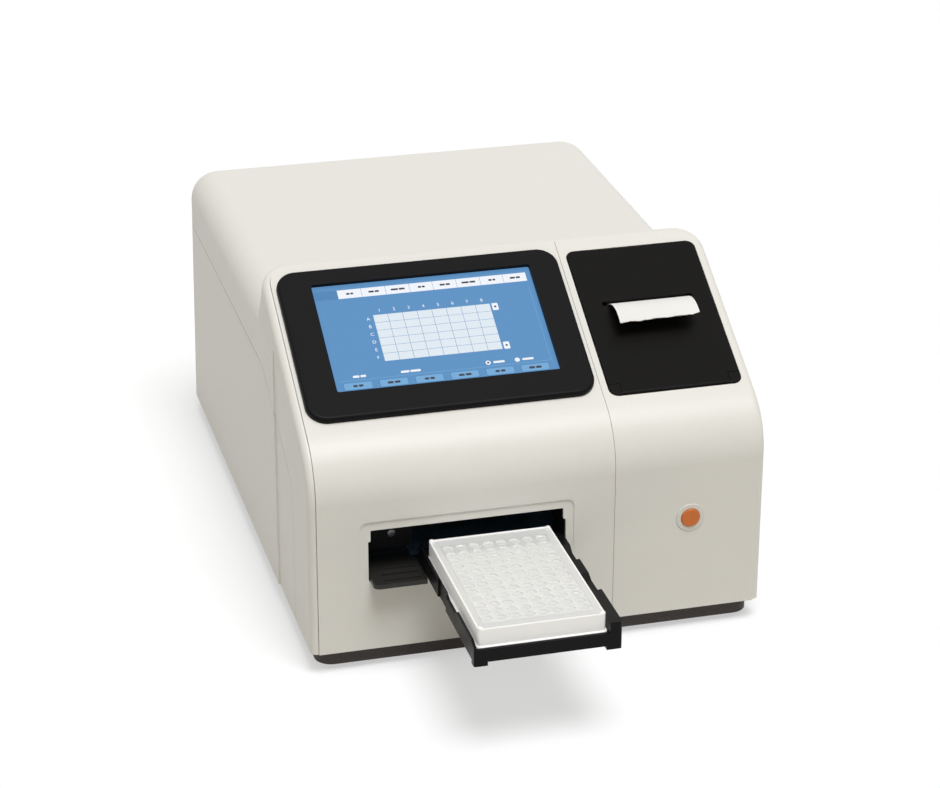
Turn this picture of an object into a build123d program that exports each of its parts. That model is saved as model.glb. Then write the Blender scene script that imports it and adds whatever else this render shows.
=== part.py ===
from build123d import *
import os
from math import atan2, cos, degrees, pi, radians, sin, tan

# Microplate reader with a touch screen, a receipt printer and a motorised plate carrier.
# Frame: X to the operator's right, Y to the rear, Z up, in millimetres.
# The origin is the centre of the footprint, on the bench.

# ---- driving dimensions: housing ----
body_width = 316.0
body_depth = 457.0
foot_height = 4.5
foot_radius = 11.0
base_height = 11.0
base_floor = 3.0
base_inset_side = 6.0
base_inset_front = 5.0
base_corner = 12.0
wall = 2.5
knee_height = 124.5
knee_radius = 45.0
slope_angle = 28.9
slope_length = 149.0
console_inset = 1.0
console_corner = 20.0
console_edge = 5.0
rim_width = 5.0
panel_gap = 0.3
fascia_thickness = 2.5
fascia_proud = 1.0
split_x = 51.0
hood_height = 206.5
hood_shoulder = 20.0
hood_corner = 22.0
hood_lean = 18.0
seam_height = 165.0
seam_front = 51.5
seam_knee_height = 114.6
seam_gap = 0.6

# ---- driving dimensions: display ----
display_x = -49.6
display_s = 76.3
display_width = 152.7
display_length = 91.4
bezel_width = 196.8
bezel_length = 126.4
bezel_s = 72.4
bezel_x = -50.6
bezel_height = 4.5
bezel_corner = 14.0
bezel_edge = 2.4
glass_margin = 2.6
glass_thickness = 1.6
lcd_margin = 6.5
lcd_thickness = 7.0
display_board_thickness = 1.6

# ---- driving dimensions: receipt printer ----
door_offset = 1.05
door_s = 69.6
door_margin = 3.95
door_length = 126.0
door_thickness = 3.0
door_proud = 0.8
door_corner = 6.0
door_gap = 0.5
door_notch_width = 48.0
door_notch_length = 1.6
door_notch_offset = -6.0
hinge_radius = 1.0
hinge_barrel = 2.2
hinge_length = 8.0
hinge_block_width = 8.0
hinge_block_length = 9.0
hinge_gap = 0.35
slot_width = 65.0
slot_length = 3.6
paper_width = 57.0
paper_thickness = 0.3
paper_curl = 23.5
paper_curl_h = -10.5
paper_curl_start = 4.0
paper_curl_end = 101.0
roll_radius = 23.0
core_radius = 6.5
axle_radius = 3.5
roll_s = 40.0
roll_h = -33.0
bucket_wall = 2.0
bucket_depth = 62.0
bucket_shallow = 36.0
platen_radius = 5.0
platen_s = 91.4
platen_h = -15.0
shaft_radius = 1.5
gear_module = 1.0
platen_gear_teeth = 12
pinion_teeth = 18
pinion_angle = 30.0

# ---- driving dimensions: power button ----
button_x = 104.5
button_z = 85.1
button_radius = 6.5
button_ring_radius = 10.0
button_travel = 2.0

# ---- driving dimensions: plate, carrier and drive ----
plate_length = 127.76
plate_width = 85.48
plate_height = 14.35
plate_x = -35.3
plate_front = -353.8
plate_seat = 76.5
well_pitch = 9.0
well_rows = 12
well_columns = 8
well_radius = 3.35
well_depth = 10.5
carrier_margin_front = 2.7
carrier_margin_rear = 11.0
carrier_left = 2.4
carrier_right = 8.4
carrier_bottom = 69.5
carrier_base = 78.5
pocket_gap = 0.5
ledge = 4.5
arm_underside = 66.3
arm_thickness = 3.2
arm_gap = 0.9
arm_front = -241.5
arm_depth = 92.0
opening_left = -117.6
opening_right = 17.2
opening_bottom = 65.6
opening_top = 102.8
opening_step_height = 8.0
opening_step = 1.7
lip_depth = 1.0
lip_rise = 6.5
lip_side = 5.5
lip_corner = 5.0
shroud_depth = 26.0
shroud_wall = 2.0
baffle_thickness = 2.0
rail_offset = 29.0
rail_width = 12.0
rail_height = 8.0
block_width = 27.0
block_height = 13.0
block_length = 34.0
screw_z = 59.0
screw_radius = 3.0
motor_side = 35.0
motor_length = 34.0
motor_clearance = 9.0
travel = 250.0
deck_height = 46.0
deck_thickness = 2.0
running_gap = 0.05
seat_gap = 0.05

# ---- driving dimensions: optics, electronics and rear ----
read_y = -93.5
upper_deck_height = 108.0
lens_radius = 2.6
beam_y = -15.0
beam_z = 134.0
filter_radius = 6.0
wheel_radius = 38.0
wheel_pitch = 28.0
wheel_thickness = 4.0
filter_count = 8
fan_size = 60.0
fan_depth = 15.0
fan_hole_offset = 25.0
rear_panel_width = 236.0
rear_panel_height = 112.0
screw_head_radius = 3.0
rocker_pin_radius = 1.2
rocker_depth = -2.4

# ---- worked out from the dimensions above ----
front_y = -body_depth / 2
rear_y = body_depth / 2
half_width = body_width / 2
skirt_z = foot_height + base_height
floor_z = foot_height + base_floor
slope_tilt = radians(slope_angle)
console_half = half_width - console_inset
lean_angle = atan2(hood_lean, hood_height - skirt_z)
knee_centre = (front_y + knee_radius, knee_height)
slope_origin = (
    0,
    knee_centre[0] - knee_radius * sin(slope_tilt),
    knee_centre[1] + knee_radius * cos(slope_tilt),
)
slope = Plane(origin=slope_origin, x_dir=(1, 0, 0), z_dir=(0, -sin(slope_tilt), cos(slope_tilt)))
rear = Plane(origin=(0, rear_y, skirt_z), x_dir=(-1, 0, 0), z_dir=(0, cos(lean_angle), sin(lean_angle)))
fascia_half = console_half - rim_width - panel_gap
fascia_middle = (split_x + fascia_half) / 2
door_x = fascia_middle + door_offset
door_width = fascia_half - split_x - 2 * door_margin
plate_rear = plate_front + plate_length
carrier_front = plate_front - carrier_margin_front
carrier_rear = plate_rear + carrier_margin_rear
carrier_x0 = plate_x - plate_width / 2 - carrier_left
carrier_x1 = plate_x + plate_width / 2 + carrier_right
arm_top = arm_underside + arm_thickness
rail_top = deck_height + rail_height
shroud_y0 = front_y + fascia_thickness
shroud_y1 = shroud_y0 + shroud_depth
barrel_s = door_s - door_length / 2 + hinge_barrel
barrel_h = door_proud - hinge_barrel
paper_s = platen_s - platen_radius - paper_thickness / 2 - 0.2
slot_s = paper_s - paper_curl + (paper_curl ** 2 - (paper_curl_h + 0.7) ** 2) ** 0.5
screw_x = -(half_width - wall - motor_side / 2 - motor_clearance)
rail_x = screw_x + rail_offset
arm_left = opening_left + arm_gap
pinion_distance = gear_module * (platen_gear_teeth + pinion_teeth) / 2 + 0.15


def block(x0, x1, y0, y1, z0, z1):
    """A box between two corners."""
    return Pos((x0 + x1) / 2, (y0 + y1) / 2, (z0 + z1) / 2) * Box(x1 - x0, y1 - y0, z1 - z0)


def rod_x(x0, x1, y, z, radius):
    return Pos((x0 + x1) / 2, y, z) * Rot(0, 90, 0) * Cylinder(radius, x1 - x0)


def rod_y(x, y0, y1, z, radius):
    return Pos(x, (y0 + y1) / 2, z) * Rot(90, 0, 0) * Cylinder(radius, y1 - y0)


def rod_z(x, y, z0, z1, radius):
    return Pos(x, y, (z0 + z1) / 2) * Cylinder(radius, z1 - z0)


def slab(x, y, width, length, z0, z1, corner):
    """A plate with rounded corners, lying flat."""
    return Pos(x, y, z0) * extrude(RectangleRounded(width, length, corner), z1 - z0)


def side_extrusion(points, x0, x1):
    """Straight-sided (Y, Z) outline, extruded across the machine from x0 to x1."""
    face = make_face(Polyline(*points, close=True))
    return extrude(Plane.YZ.offset(x0) * face, x1 - x0)


def edges_along_x(shape):
    return shape.edges().filter_by(Axis.X)


# ---- housing ----
def console_form(depth, side, bottom=skirt_z):
    """Solid of the sloping console, inset by depth from its skin and by side from its flanks."""
    radius = knee_radius - depth
    top_s = slope_length - side
    length_in = 118.0
    start = (front_y + depth, knee_height)
    middle = tuple(
        c + radius * d
        for c, d in zip(knee_centre, (-cos(radians(45 - slope_angle / 2)), sin(radians(45 - slope_angle / 2))))
    )
    end = (knee_centre[0] - radius * sin(slope_tilt), knee_centre[1] + radius * cos(slope_tilt))
    crest = (end[0] + top_s * cos(slope_tilt), end[1] + top_s * sin(slope_tilt))
    foot = (crest[0] + length_in * sin(slope_tilt), crest[1] - length_in * cos(slope_tilt))
    outline = (
        Polyline((foot[0], foot[1]), (foot[0], bottom), (front_y + depth, bottom), start)
        + ThreePointArc(start, middle, end)
        + Polyline(end, crest, foot)
    )
    width = 2 * (console_half - side)
    solid = extrude(Plane.YZ.offset(-width / 2) * make_face(outline), width)
    upright = solid.edges().filter_by(lambda e: abs(e.tangent_at(0.5).dot(slope.z_dir)) > 0.999)
    solid = fillet(upright, max(console_corner - side, 2.0))
    return solid


def skin_edges(solid, depth):
    """The console's outer edges, where its skin turns into its flanks and its rear wall."""
    skin = solid.faces().filter_by(
        lambda f: f.geom_type == GeomType.CYLINDER and abs(f.axis_of_rotation.direction.X) > 0.99
        or f.normal_at().dot(slope.z_dir) > 0.99
        or f.normal_at().Y < -0.99
    )
    keep = []
    for face in skin:
        for edge in face.edges():
            centre = edge.center()
            inner = abs(edge.tangent_at(0.5).X) > 0.99 and edge.length > body_width / 2
            on_crest = slope.to_local_coords(centre).Y > slope_length - 2
            if not inner or on_crest:
                keep.append(edge)
    return keep


def console_surface(depth, side, edge_radius, bottom=skirt_z):
    solid = console_form(depth, side, bottom)
    return fillet(skin_edges(solid, depth), edge_radius)


def body_form(inset, bottom=skirt_z):
    """Solid of the main body with its leaning rear wall and rounded shoulders."""
    top = hood_height - inset
    rear_bottom = rear_y - inset + (skirt_z - bottom) * tan(lean_angle)
    rear_top = rear_y - inset - (top - skirt_z) * tan(lean_angle)
    start_y = knee_centre[0] + 60.0
    outline = [(start_y, bottom), (rear_bottom, bottom), (rear_top, top), (start_y, top)]
    solid = side_extrusion(outline, -half_width + inset, half_width - inset)
    corners = solid.edges().filter_by(lambda e: abs(e.tangent_at(0.5).Z) > 0.9 and e.center().Y > 0)
    solid = fillet(corners, hood_corner - inset)
    shoulders = solid.edges().filter_by(
        lambda e: abs(e.center().Z - top) < 0.5 and e.center().Y > start_y + 1
    )
    return fillet(shoulders, hood_shoulder - inset)


def seam_form(grow):
    """The region below the parting line between the upper and the lower housing."""
    front = front_y + seam_front - grow
    top = seam_height + grow
    rise = (top - seam_knee_height - grow) / tan(slope_tilt)
    points = [
        (front, -10),
        (front, seam_knee_height + grow),
        (front + rise, top),
        (rear_y + 20, top),
        (rear_y + 20, -10),
    ]
    solid = side_extrusion(points, -half_width - 10, half_width + 10)
    bends = edges_along_x(solid)
    low = bends.filter_by(lambda e: abs(e.center().Z - seam_knee_height - grow) < 0.1)
    high = bends.filter_by(lambda e: abs(e.center().Z - top) < 0.1 and e.center().Y < 0)
    solid = fillet(low, 16)
    high = edges_along_x(solid).filter_by(lambda e: abs(e.center().Z - top) < 0.1 and e.center().Y < 0)
    return fillet(high, 40)


def base_ring(z0, z1):
    """Outline of the base's side walls, between two levels."""
    x1 = half_width - base_inset_side
    y0 = front_y + base_inset_front
    y1 = rear_y - base_inset_side
    middle = (y0 + y1) / 2
    outer = slab(0, middle, 2 * x1, y1 - y0, z0, z1, base_corner)
    inner = slab(0, middle, 2 * (x1 - wall), y1 - y0 - 2 * wall, z0 - 1, z1 + 1, base_corner - wall)
    return outer, inner


def housing_shell():
    """Hollow skin of the whole housing, with the flange it rests on the base by."""
    outer = console_surface(fascia_proud, 0, console_edge) + body_form(0)
    inner = console_form(fascia_proud + wall, wall, -5) + body_form(wall, -5)
    ring = block(-body_width, body_width, -body_depth, body_depth, skirt_z, skirt_z + wall)
    return outer - inner + (outer & ring - base_ring(skirt_z, skirt_z + wall)[1])


def fascia_cutter(side):
    """Everything within the rim of the console, from well in front of it to its hollow."""
    return console_form(-3.0, side, -5) - side_extrusion(
        [(front_y + 60, -6), (rear_y, -6), (rear_y, 120), (front_y + 150, 120)], -half_width, half_width
    )


def upper_housing():
    shell = housing_shell() - seam_form(seam_gap)
    shell = shell - fascia_cutter(rim_width)
    return shell


def lower_housing():
    shell = housing_shell() & seam_form(0)
    window = rear * Pos(0, rear_panel_height / 2 + 12, 0) * Box(
        rear_panel_width, rear_panel_height, 4 * wall
    )
    return shell - window


def fascia_band():
    """The curved front panel before it is split into its two halves."""
    outer = console_form(0, rim_width + panel_gap)
    inner = console_form(fascia_thickness, -6.0, skirt_z - 5)
    band = outer - inner
    lip = block(-fascia_half, fascia_half, front_y, front_y + base_inset_front + wall, skirt_z, skirt_z + wall)
    return band + lip


def tray_opening(grow, y0, y1):
    """The stepped outline of the tray opening, through the front panel."""
    low = block(
        opening_left - grow, opening_right + grow, y0, y1, opening_bottom - grow, opening_top - opening_step_height
    )
    high = block(
        opening_left + opening_step - grow, opening_right - opening_step + grow, y0, y1,
        opening_bottom, opening_top + grow,
    )
    return fillet((low + high).edges().filter_by(Axis.Y), 0.8)


def screen_fascia():
    half = fascia_band() & block(-body_width, split_x - panel_gap / 2, -body_depth, 0, 0, 300)
    window = slope * slab(
        display_x, display_s, display_width + 2 * lcd_margin + 1, display_length + 2 * lcd_margin + 1, -10, 5, 2
    )
    crease = opening_top + lip_rise
    lip = side_extrusion(
        [(front_y - 5, opening_bottom), (front_y, opening_bottom), (front_y + lip_depth, crease), (front_y - 5, crease)],
        opening_left - lip_side, opening_right + lip_side,
    )
    lip = fillet(lip.edges().filter_by(Axis.Y).group_by(Axis.Z)[-1], lip_corner)
    return half - window - lip - tray_opening(0, front_y - 5, front_y + 10)


def door_outline(grow, h0, h1):
    """The printer door's rounded outline, grown by a gap."""
    return slab(door_x, door_s, door_width + 2 * grow, door_length + 2 * grow, h0, h1, door_corner + grow)


def hinge_corners(grow, h0, h1):
    """The two front corners of the door's outline, which the hinge blocks fill."""
    x0, x1 = door_ends()
    front = door_s - door_length / 2
    reach = front + hinge_block_length + grow
    left = block(x0 - 5, x0 + hinge_block_width + grow, front - 5, reach, h0, h1)
    right = block(x1 - hinge_block_width - grow, x1 + 5, front - 5, reach, h0, h1)
    return left, right


def printer_fascia():
    half = fascia_band() & block(split_x + panel_gap / 2, body_width, -body_depth, 0, 0, 300)
    half -= slope * door_outline(door_gap, -10, 5)
    return half - rod_y(button_x, front_y - 5, front_y + 10, button_z, button_ring_radius + 0.1)


def base_plate():
    """Dark tray that closes the bottom, with its rim showing under the housing."""
    outer, inner = base_ring(foot_height, skirt_z)
    tray = outer - (inner & block(-body_width, body_width, -body_depth, body_depth, floor_z, skirt_z + 1))
    vents = [
        slab(x, 150, 4, 60, foot_height - 1, floor_z + 1, 1.9)
        for x in range(-60, 61, 12)
    ]
    return tray - vents


def foot_places():
    x = half_width - 28
    return [(sx * x, y) for sx in (-1, 1) for y in (front_y + 34, rear_y - 34)]


def rubber_feet():
    feet = []
    for x, y in foot_places():
        foot = rod_z(x, y, 0, foot_height, foot_radius)
        foot = chamfer(foot.edges().group_by(Axis.Z)[0], 1.0)
        feet.append(foot)
    return Compound(children=feet)


# ---- display ----
def display_bezel():
    frame = slope * slab(bezel_x, bezel_s, bezel_width, bezel_length, 0, bezel_height, bezel_corner)
    top = frame.faces().filter_by(lambda f: f.normal_at().dot(slope.z_dir) > 0.99)
    frame = fillet(top.edges(), bezel_edge)
    window = slope * slab(display_x, display_s, display_width, display_length, -1, 6, 1.5)
    seat = slope * slab(
        display_x, display_s, display_width + 2 * glass_margin + 0.4, display_length + 2 * glass_margin + 0.4,
        -1, glass_thickness, 1.0,
    )
    return frame - window - seat


def touch_glass():
    return slope * slab(
        display_x, display_s, display_width + 2 * glass_margin, display_length + 2 * glass_margin,
        0, glass_thickness, 1.0,
    )


def lcd_module():
    width = display_width + 2 * lcd_margin
    length = display_length + 2 * lcd_margin
    return slope * slab(display_x, display_s, width, length, -lcd_thickness, 0, 1.5)


def display_board():
    """Driver board on four spacers behind the display."""
    back = -lcd_thickness
    board = slab(display_x, display_s, 132, 80, back - 8, back - 8 + display_board_thickness, 2)
    for x in (-60, 60):
        for s in (-34, 34):
            board += rod_z(display_x + x, display_s + s, back - 8 + display_board_thickness, back, 3)
    board += block(display_x - 40, display_x - 10, display_s - 20, display_s + 10, back - 11, back - 8)
    return slope * board


# ---- receipt printer ----
def door_ends():
    """X limits of the printer door."""
    return door_x - door_width / 2, door_x + door_width / 2


def printer_door():
    """Door in the slope with a rounded front edge about its hinge axis, a paper slot and a catch."""
    h0 = door_proud - door_thickness
    x0, x1 = door_ends()
    door = door_outline(0, h0, door_proud)
    rim = door.faces().sort_by(Axis.Z)[-1].edges()
    door = fillet(rim, 0.7)
    front = door_s - door_length / 2
    door -= block(x0 - 1, x1 + 1, front - 1, barrel_s, barrel_h - 5, door_proud + 1)
    door += rod_x(x0, x1, barrel_s, barrel_h, hinge_barrel)
    for corner in hinge_corners(hinge_gap, barrel_h - 5, door_proud + 5):
        door -= corner
    door -= rod_x(x0 - 1, x1 + 1, barrel_s, barrel_h, hinge_radius + running_gap)
    door -= slab(door_x, slot_s, slot_width, slot_length, h0 - 1, door_proud + 1, 1.4)
    rear_s = door_s + door_length / 2
    notch_x = door_x + door_notch_offset
    door -= block(
        notch_x - door_notch_width / 2, notch_x + door_notch_width / 2, rear_s - door_notch_length, rear_s + 1,
        door_proud - 1.4, door_proud + 1,
    )
    catch_s = rear_s - 6
    door += block(door_x - 8, door_x + 8, catch_s - 1.2, catch_s + 1.2, h0 - 9, h0)
    door += block(door_x - 8, door_x + 8, catch_s - 1.2, catch_s + 2.6, h0 - 9, h0 - 7)
    return slope * door


def pin_spans():
    """X limits of the two hinge pins, each from inside its block into the door."""
    x0, x1 = door_ends()
    reach = hinge_block_width + hinge_length
    inset = 2.2
    return (x0 + inset, x0 + reach), (x1 - reach, x1 - inset)


def hinge_pins():
    pins = [slope * rod_x(a, b, barrel_s, barrel_h, hinge_radius) for a, b in pin_spans()]
    return Compound(children=pins)


def bucket_ends():
    """Inner X limits of the printer's paper bucket."""
    x0, x1 = door_ends()
    return x0 - 0.3, x1 + 0.3


def printer_bucket():
    """Open-topped tub under the door, deep over the roll and stepped up behind it."""
    x0, x1 = bucket_ends()
    s0 = door_s - door_length / 2 - 0.4
    s1 = door_s + door_length / 2 - 1
    top = -fascia_thickness
    w = bucket_wall
    floor_s = roll_s + roll_radius + 4
    deep, shallow = -bucket_depth, -bucket_shallow
    outline = [(s0 - w, top), (s0 - w, deep), (floor_s + w, deep), (floor_s + w, shallow), (s1 + w, shallow),
               (s1 + w, top)]
    hollow = [(s0, top + 1), (s0, deep + w), (floor_s, deep + w), (floor_s, shallow + w), (s1, shallow + w),
              (s1, top + 1)]
    shell = extrude(Plane.YZ.offset(x0 - w) * make_face(Polyline(*outline, close=True)), x1 - x0 + 2 * w)
    shell -= extrude(Plane.YZ.offset(x0) * make_face(Polyline(*hollow, close=True)), x1 - x0)
    corners = hinge_corners(0, top - 6, door_proud)
    for corner, wall_x in zip(corners, (x0, x1)):
        shell += corner & door_outline(0, top - 6, door_proud)
        shell += corner & block(wall_x - w / 2, wall_x + w / 2, s0 - w / 2, s0 + 20, top - 6, top - 0.1)
    for a, b in pin_spans():
        shell -= rod_x(a, b, barrel_s, barrel_h, hinge_radius)
    stub = roll_stub()
    for x, side in ((x0, 1), (x1, -1)):
        a, b = sorted((x, x + side * stub))
        shell += block(a, b, roll_s - 6, roll_s + 6, roll_h - 8, roll_h)
    shell -= rod_x(x0, x1, roll_s, roll_h, axle_radius + running_gap)
    for x, side in ((x0, 1), (x1, -1)):
        a, b = sorted((x, x + side * 2.0))
        shell += rod_x(a, b, platen_s, platen_h, 4.0)
        shell -= rod_x(a, b, platen_s, platen_h, shaft_radius + running_gap)
    return slope * shell


def roll_stub():
    """How far each cradle stands in from the bucket's wall."""
    b0, b1 = bucket_ends()
    x0, x1 = roll_ends()
    return (b1 - b0 - (x1 - x0)) / 2 - 4


def roll_ends():
    x0, x1 = bucket_ends()
    middle = (x0 + x1) / 2
    return middle - paper_width / 2, middle + paper_width / 2


def paper_roll():
    x0, x1 = roll_ends()
    roll = rod_x(x0, x1, roll_s, roll_h, roll_radius) - rod_x(x0 - 1, x1 + 1, roll_s, roll_h, core_radius)
    return slope * roll


def roll_core():
    """Spool inside the roll, with the two stub axles that sit in the bucket's cradles."""
    x0, x1 = roll_ends()
    b0, b1 = bucket_ends()
    spool = rod_x(x0 - 2, x1 + 2, roll_s, roll_h, core_radius - seat_gap)
    spool += rod_x(b0 + 0.5, b1 - 0.5, roll_s, roll_h, axle_radius)
    return slope * spool


def platen_roller():
    x0, x1 = roll_ends()
    return slope * rod_x(x0, x1, platen_s, platen_h, platen_radius)


def platen_shaft():
    b0, b1 = bucket_ends()
    x0, x1 = roll_ends()
    shaft = rod_x(b0 + 0.5, x0, platen_s, platen_h, shaft_radius)
    shaft += rod_x(x1, b1 - 0.5, platen_s, platen_h, shaft_radius)
    return slope * shaft


def spur_gear(teeth, width, bore, phase=0.0):
    """Spur gear with straight-flanked teeth on the given module, lying on its axis Z."""
    root = gear_module * (teeth / 2 - 1.15)
    tip = gear_module * (teeth / 2 + 0.9)
    pitch = gear_module * teeth / 2
    step = 2 * pi / teeth
    points = []
    for i in range(teeth):
        for offset, radius in ((-0.27, root), (-0.215, pitch), (-0.11, tip), (0.11, tip), (0.215, pitch), (0.27, root)):
            angle = (i + offset) * step + phase
            points.append((radius * cos(angle), radius * sin(angle)))
    gear = extrude(make_face(Polyline(*points, close=True)), width)
    return gear - Pos(0, 0, width / 2) * Cylinder(bore, width + 2)


def gear_x(teeth, x, s, h, width, bore, phase):
    return slope * Pos(x, s, h) * Rot(0, 90, 0) * spur_gear(teeth, width, bore, phase)


def gear_place():
    b0, b1 = bucket_ends()
    return b1 - 6.5


def platen_gear():
    phase = pi / 2 - radians(pinion_angle)
    return gear_x(platen_gear_teeth, gear_place(), platen_s, platen_h, 4.0, shaft_radius, phase)


def pinion_centre():
    angle = radians(pinion_angle)
    return platen_s + pinion_distance * cos(angle), platen_h - pinion_distance * sin(angle)


def pinion_gear():
    s, h = pinion_centre()
    phase = 3 * pi / 2 - radians(pinion_angle) + pi / pinion_teeth
    gear = gear_x(pinion_teeth, gear_place(), s, h, 4.0, shaft_radius, phase)
    return gear + slope * rod_x(gear_place() - 8, gear_place() + 4.5, s, h, shaft_radius)


def printer_motor():
    b0, b1 = bucket_ends()
    s, h = pinion_centre()
    can = rod_x(b1 - 32, b1 - 9, s, h, 7.0)
    can += block(b1 - 11, b1 - 9, s - 7, s + 7, bucket_wall - bucket_shallow, h)
    return slope * (can - rod_x(b1 - 16, b1 - 8, s, h, shaft_radius + running_gap))


def print_head():
    """Heated bar on its sprung backing plate, with the tear edge above it."""
    x0, x1 = roll_ends()
    face = platen_s - platen_radius - paper_thickness - 0.4
    head = block(x0, x1, face - 5, face, platen_h - 6, platen_h + 6)
    head += block(x0 - 1, x1 + 1, face - 9, face - 5, -fascia_thickness - 26, -fascia_thickness - 1.5)
    return slope * head


def receipt_paper():
    """Strip that leaves the platen, comes up through the slot and curls forward over the door."""
    x0, x1 = roll_ends()
    t = paper_thickness
    centre_s = paper_s - paper_curl
    ring = rod_x(x0, x1, centre_s, paper_curl_h, paper_curl + t / 2)
    ring -= rod_x(x0 - 1, x1 + 1, centre_s, paper_curl_h, paper_curl - t / 2)
    reach = 2 * paper_curl
    start, end = radians(paper_curl_start), radians(paper_curl_end)
    middle = (start + end) / 2
    corners = [(centre_s, paper_curl_h)] + [
        (centre_s + reach * cos(angle), paper_curl_h + reach * sin(angle)) for angle in (start, middle, end)
    ]
    return slope * (ring & side_extrusion(corners, x0 - 1, x1 + 1))


# ---- power button ----
def button_ring():
    ring = rod_y(button_x, front_y - 0.6, front_y + fascia_thickness + 2, button_z, button_ring_radius)
    front = ring.edges().sort_by(Axis.Y)[0]
    ring = fillet(front, 0.5)
    ring += rod_y(button_x, front_y + fascia_thickness, front_y + fascia_thickness + 2, button_z, button_ring_radius + 2)
    return ring - rod_y(button_x, front_y - 5, front_y + 10, button_z, button_radius + 0.3)


def power_button():
    cap = rod_y(button_x, front_y - 1.6, front_y + 6.0, button_z, button_radius)
    cap = fillet(cap.edges().sort_by(Axis.Y)[0], 0.8)
    return cap + rod_y(button_x, front_y + 6.0, front_y + 9.0, button_z, 2.0)


def button_switch():
    """Switch body clipped behind the ring, hollow at its mouth for the button's travel."""
    y0 = front_y + fascia_thickness + 2
    body = rod_y(button_x, y0, y0 + 18, button_z, button_ring_radius)
    body -= rod_y(button_x, y0 - 1, y0 + 8, button_z, button_radius + 0.3)
    body += block(button_x - 4, button_x - 3, y0 + 18, y0 + 24, button_z - 1.5, button_z + 1.5)
    return body + block(button_x + 3, button_x + 4, y0 + 18, y0 + 24, button_z - 1.5, button_z + 1.5)


# ---- tray, carrier and plate ----
def tray_shroud():
    """Black lining of the tray opening, with a flange behind the front panel."""
    sleeve = tray_opening(shroud_wall, shroud_y0, shroud_y1)
    flange = block(
        opening_left - 9, opening_right + 9, shroud_y0, shroud_y0 + shroud_wall, opening_bottom - 9, opening_top + 9
    )
    return sleeve + flange - tray_opening(0, shroud_y0 - 1, shroud_y1 + 1)


def tray_baffle():
    """Plate behind the lining that leaves only the carrier's own outline open."""
    plate = block(
        opening_left - shroud_wall, opening_right + shroud_wall, shroud_y1, shroud_y1 + baffle_thickness,
        opening_bottom - shroud_wall, opening_top + shroud_wall,
    )
    middle = block(
        carrier_x0 - 1, opening_right, shroud_y1 - 1, shroud_y1 + 9, opening_bottom, plate_seat + plate_height + 3.5
    )
    arm = block(opening_left, carrier_x0, shroud_y1 - 1, shroud_y1 + 9, opening_bottom, arm_top + 4.5)
    return plate - middle - arm


def well_field(margin):
    """Lowest and highest X and Y of the plate's wells, with a margin round them."""
    half_x = well_pitch * (well_columns - 1) / 2 + well_radius + margin
    half_y = well_pitch * (well_rows - 1) / 2 + well_radius + margin
    middle_y = plate_front + plate_length / 2
    return plate_x - half_x, plate_x + half_x, middle_y - half_y, middle_y + half_y


def side_wall(x0, x1, profile):
    points = [(carrier_front, carrier_base - 1)] + profile + [(carrier_rear, carrier_base - 1)]
    return side_extrusion(points, x0, x1)


def plate_carrier():
    """Open frame with a seat for the plate, stepped side walls and two lugs under its front bar."""
    solid = block(carrier_x0, carrier_x1, carrier_front, carrier_rear, carrier_bottom, carrier_base)
    right = [
        (carrier_front, carrier_base + 7.5),
        (carrier_front + 44, carrier_base + 7.5),
        (carrier_front + 48, carrier_base + 2.5),
        (carrier_front + 66, carrier_base + 2.5),
        (carrier_front + 72, carrier_base + 5.0),
        (carrier_front + 92, carrier_base + 5.0),
        (carrier_front + 98, carrier_base + 1.0),
        (carrier_front + 108, carrier_base + 1.0),
        (carrier_front + 114, carrier_base + 4.5),
        (carrier_front + 130, carrier_base + 4.5),
        (carrier_rear, carrier_base + 1.5),
    ]
    left = [
        (carrier_front, carrier_base + 1.0),
        (carrier_front + 8, carrier_base + 4.0),
        (carrier_front + 44, carrier_base + 4.0),
        (carrier_front + 48, carrier_base + 1.0),
        (carrier_front + 66, carrier_base + 1.0),
        (carrier_front + 72, carrier_base + 3.5),
        (carrier_rear, carrier_base + 3.5),
    ]
    half = plate_width / 2 + pocket_gap
    solid += side_wall(plate_x + half, carrier_x1, right)
    solid += side_wall(carrier_x0, plate_x - half, left)
    solid -= block(
        plate_x - half, plate_x + half, plate_front - pocket_gap, plate_rear + pocket_gap, plate_seat, plate_seat + 40
    )
    x0, x1, y0, y1 = well_field(0.8)
    solid -= block(x0, x1, y0, y1, carrier_bottom - 1, plate_seat + 1)
    notch = carrier_front + 84
    solid -= block(carrier_x0 - 1, carrier_x0 + 1.2, notch - 14, notch + 6, carrier_bottom - 1, carrier_base + 9)
    for a, b in ((carrier_x0, carrier_x0 + 9), (carrier_x1 - 10, carrier_x1)):
        solid += block(a, b, carrier_front, carrier_front + 6, carrier_bottom - 2.7, carrier_bottom)
    corners = solid.edges().filter_by(Axis.Z).filter_by(
        lambda e: abs(e.center().Y - carrier_front) < 0.1 and e.length > 8
    )
    return fillet(corners, 1.5)


def plate_spring():
    """Steel leaf in the right wall that holds the plate against the left one."""
    x = plate_x + plate_width / 2 + pocket_gap
    y = carrier_front + 56
    return block(x - 0.3, x, y - 12, y + 12, plate_seat + 2.0, carrier_base + 1.5)


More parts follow.
